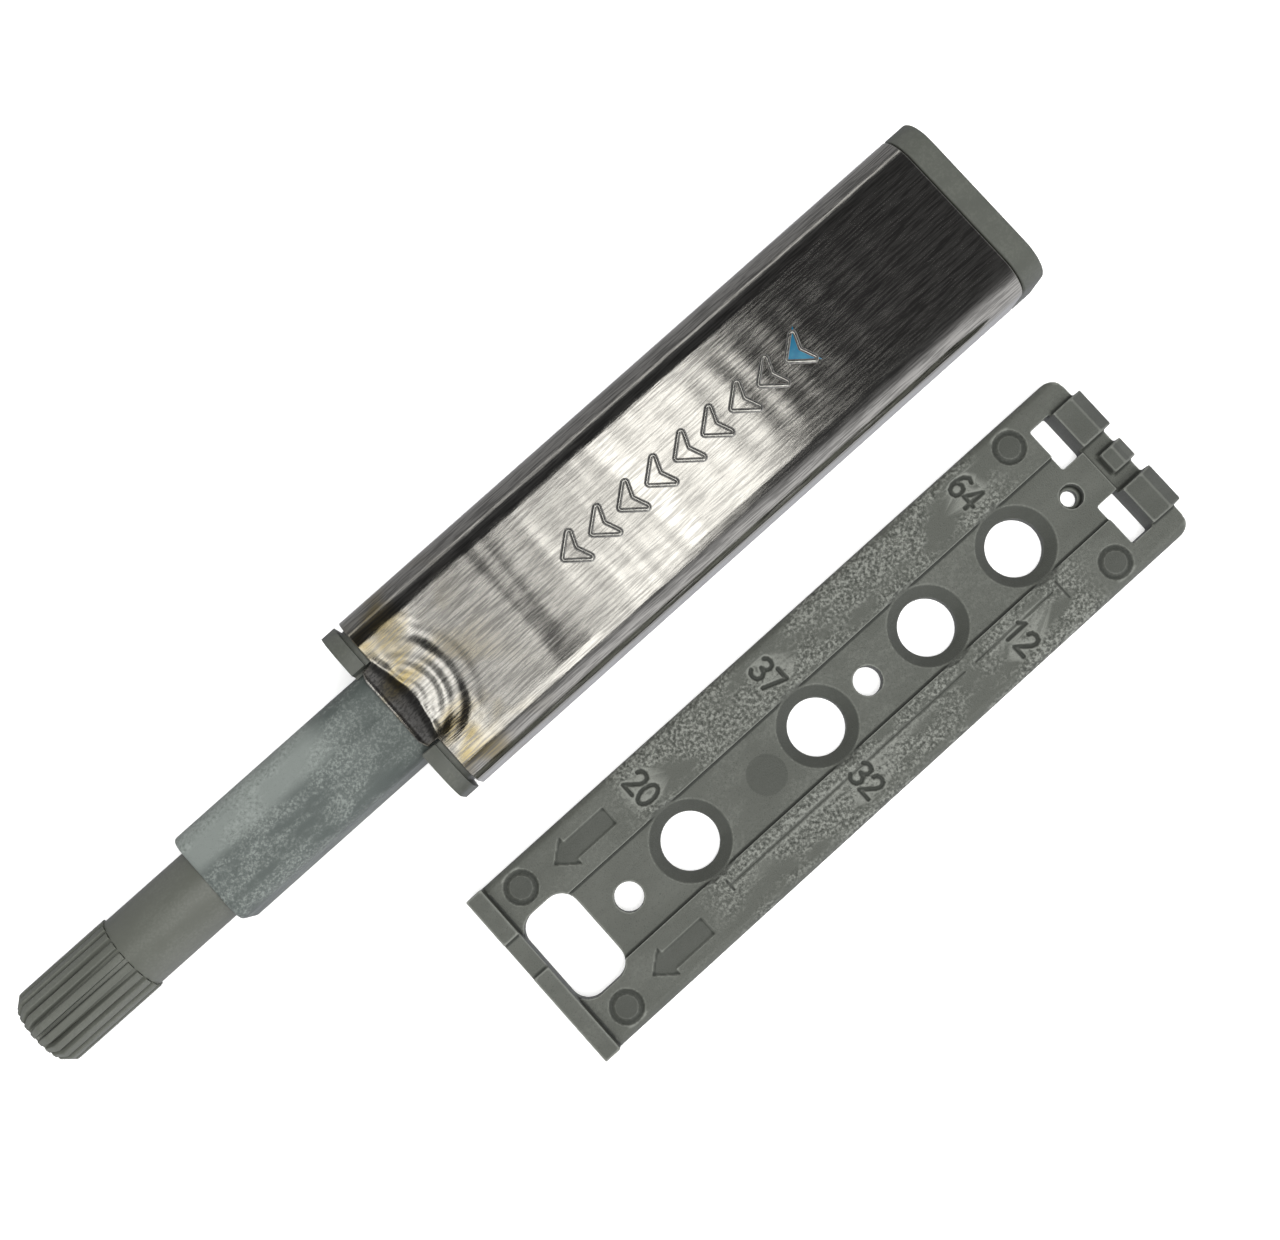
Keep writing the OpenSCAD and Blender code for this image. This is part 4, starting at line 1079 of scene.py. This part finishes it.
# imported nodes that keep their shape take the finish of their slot
slotOf = {part["node"]: part["material_slot"] for part in frame["record"]["subparts"]}
for node, shown in frame["nodes"].items():
    shown.data.materials.clear()
    shown.data.materials.append(finishes[slotOf[node]])


# Studio: a pale table, soft panels that the steel mirrors, and a wide fill that it doesn't.
studio = dict(floorTone="#fafaf8", floorSize=3000, floorGlow=0.4, mottle=40, mottleAmount=0.3,
              fillSize=900, fillAt=(60, 160, 1000), fillPower=14, worldTone="#f8f9ff",
              airRange=(0.1, 0.85), zenithLight=0.055, horizonLight=0.5, plateSideLight=0.5)
# name, size, place, what it faces and power: the first three are mirrored in the casing's top
panels = [("longPanel", (70, 230), (-64, 14, 420), (-64, 14, 0), 0.11),
          ("frontPanel", (30, 230), (31, 14, 420), (31, 14, 0), 0.045),
          ("dimPanel", (34, 230), (-10, 14, 430), (-10, 14, 0), 0.0015),
          ("plateSidePanel", (120, 290), (-10, 275, 400), (-10, 275, 0), 0.2),
          ("sideStrip", (420, 60), (-150, -420, 260), (0, 0, 0), 0.05)]


def makeFloor():
    c = studio
    bm = bmesh.new()
    half = c["floorSize"] / 2
    corners = [bm.verts.new((x * half, y * half, 0)) for x, y in ((-1, -1), (1, -1), (1, 1), (-1, 1))]
    bm.faces.new(corners)
    bmesh.ops.scale(bm, vec=(mm,) * 3, verts=bm.verts)
    table = addFromBmesh("tableTop", bm)
    # an even, shadow-soft white with a mottle too faint to notice
    material, tree, place = startMaterial("Matt white laminate")
    spots = addNode(tree, "ShaderNodeMapping", {"Vector": place, "Scale": perMm(*[c["mottle"]] * 3)})
    mottle = addNode(tree, "ShaderNodeTexNoise",
                     {"Vector": spots, "Scale": 1, "Detail": 2, "Roughness": 0.5})
    share = addNode(tree, "ShaderNodeMapRange",
                    {"Value": mottle, "From Min": 0.3, "From Max": 0.7, "To Max": c["mottleAmount"]},
                    interpolation_type="SMOOTHSTEP")
    colour = addNode(tree, "ShaderNodeMix",
                     {0: share, 6: toLinear(c["floorTone"]), 7: toLinear("#ffffff")},
                     data_type="RGBA").outputs[2]
    shader = addNode(tree, "ShaderNodeBsdfPrincipled",
                     {"Base Color": colour, "Roughness": 0.8, "Emission Color": (1, 1, 1, 1),
                      "Emission Strength": c["floorGlow"]})
    addNode(tree, "ShaderNodeOutputMaterial", {"Surface": shader})
    table.data.materials.append(material)
    table.visible_glossy = False


def addPanel(name, size, place, aim, power, mirrored=True):
    light = bpy.data.lights.new(name, "AREA")
    light.shape = "RECTANGLE"
    light.size, light.size_y = size[0] * mm, size[1] * mm
    light.energy = power
    panel = addObject(name, light)
    panel.location = [v * mm for v in place]
    direction = Vector(aim) - Vector(place)
    # local x stays along the casing, so a panel's first size is its length along x
    panel.rotation_euler = direction.to_track_quat("-Z", "Y").to_euler()
    panel.visible_glossy = mirrored


def makeAir():
    # dark overhead and pale near the horizon, as the dark room behind a lamp would be
    c = studio
    world = bpy.data.worlds.new("studioAir")
    world.use_nodes = True
    tree = world.node_tree
    place = addNode(tree, "ShaderNodeTexCoord").outputs["Generated"]
    apart = addNode(tree, "ShaderNodeSeparateXYZ", {"Vector": place})
    rise = addNode(tree, "ShaderNodeMath", {0: apart.outputs["Z"], 1: 0.0}, operation="MAXIMUM")
    strength = addNode(tree, "ShaderNodeMapRange",
                       {"Value": rise, "From Min": c["airRange"][0], "From Max": c["airRange"][1],
                        "To Min": c["horizonLight"], "To Max": c["zenithLight"]},
                       interpolation_type="SMOOTHSTEP")
    lean = addNode(tree, "ShaderNodeMath",
                   {0: apart.outputs["Y"], 1: c["plateSideLight"], 2: 1.0}, operation="MULTIPLY_ADD")
    leaning = addNode(tree, "ShaderNodeMath", {0: strength, 1: lean}, operation="MULTIPLY")
    sky = tree.nodes["Background"]
    sky.inputs["Color"].default_value = toLinear(c["worldTone"])
    tree.links.new(leaning.outputs[0], sky.inputs["Strength"])
    bpy.context.scene.world = world


makeFloor()
for name, size, place, aim, power in panels:
    addPanel(name, size, place, aim, power)
addPanel("wideFill", (studio["fillSize"],) * 2, studio["fillAt"], (0, 0, 0), studio["fillPower"],
         mirrored=False)
makeAir()
bpy.context.scene.view_settings.view_transform = "Standard"

# Camera: held low over the table and a little tilted, so the sides of the casing still show.
view = dict(place=(4.175, 8.781, 204.997), turn=(5.522, -0.032, 138.072), lens=57.21, sensor=36)
cameraData = bpy.data.cameras.new("camera")
cameraData.lens, cameraData.sensor_width = view["lens"], view["sensor"]
cameraData.sensor_fit = "HORIZONTAL"
cameraData.clip_start = 1 * mm
camera = addObject("camera", cameraData)
camera.location = [v * mm for v in view["place"]]
camera.rotation_euler = [radians(a) for a in view["turn"]]
bpy.context.scene.camera = camera
print("studio made")
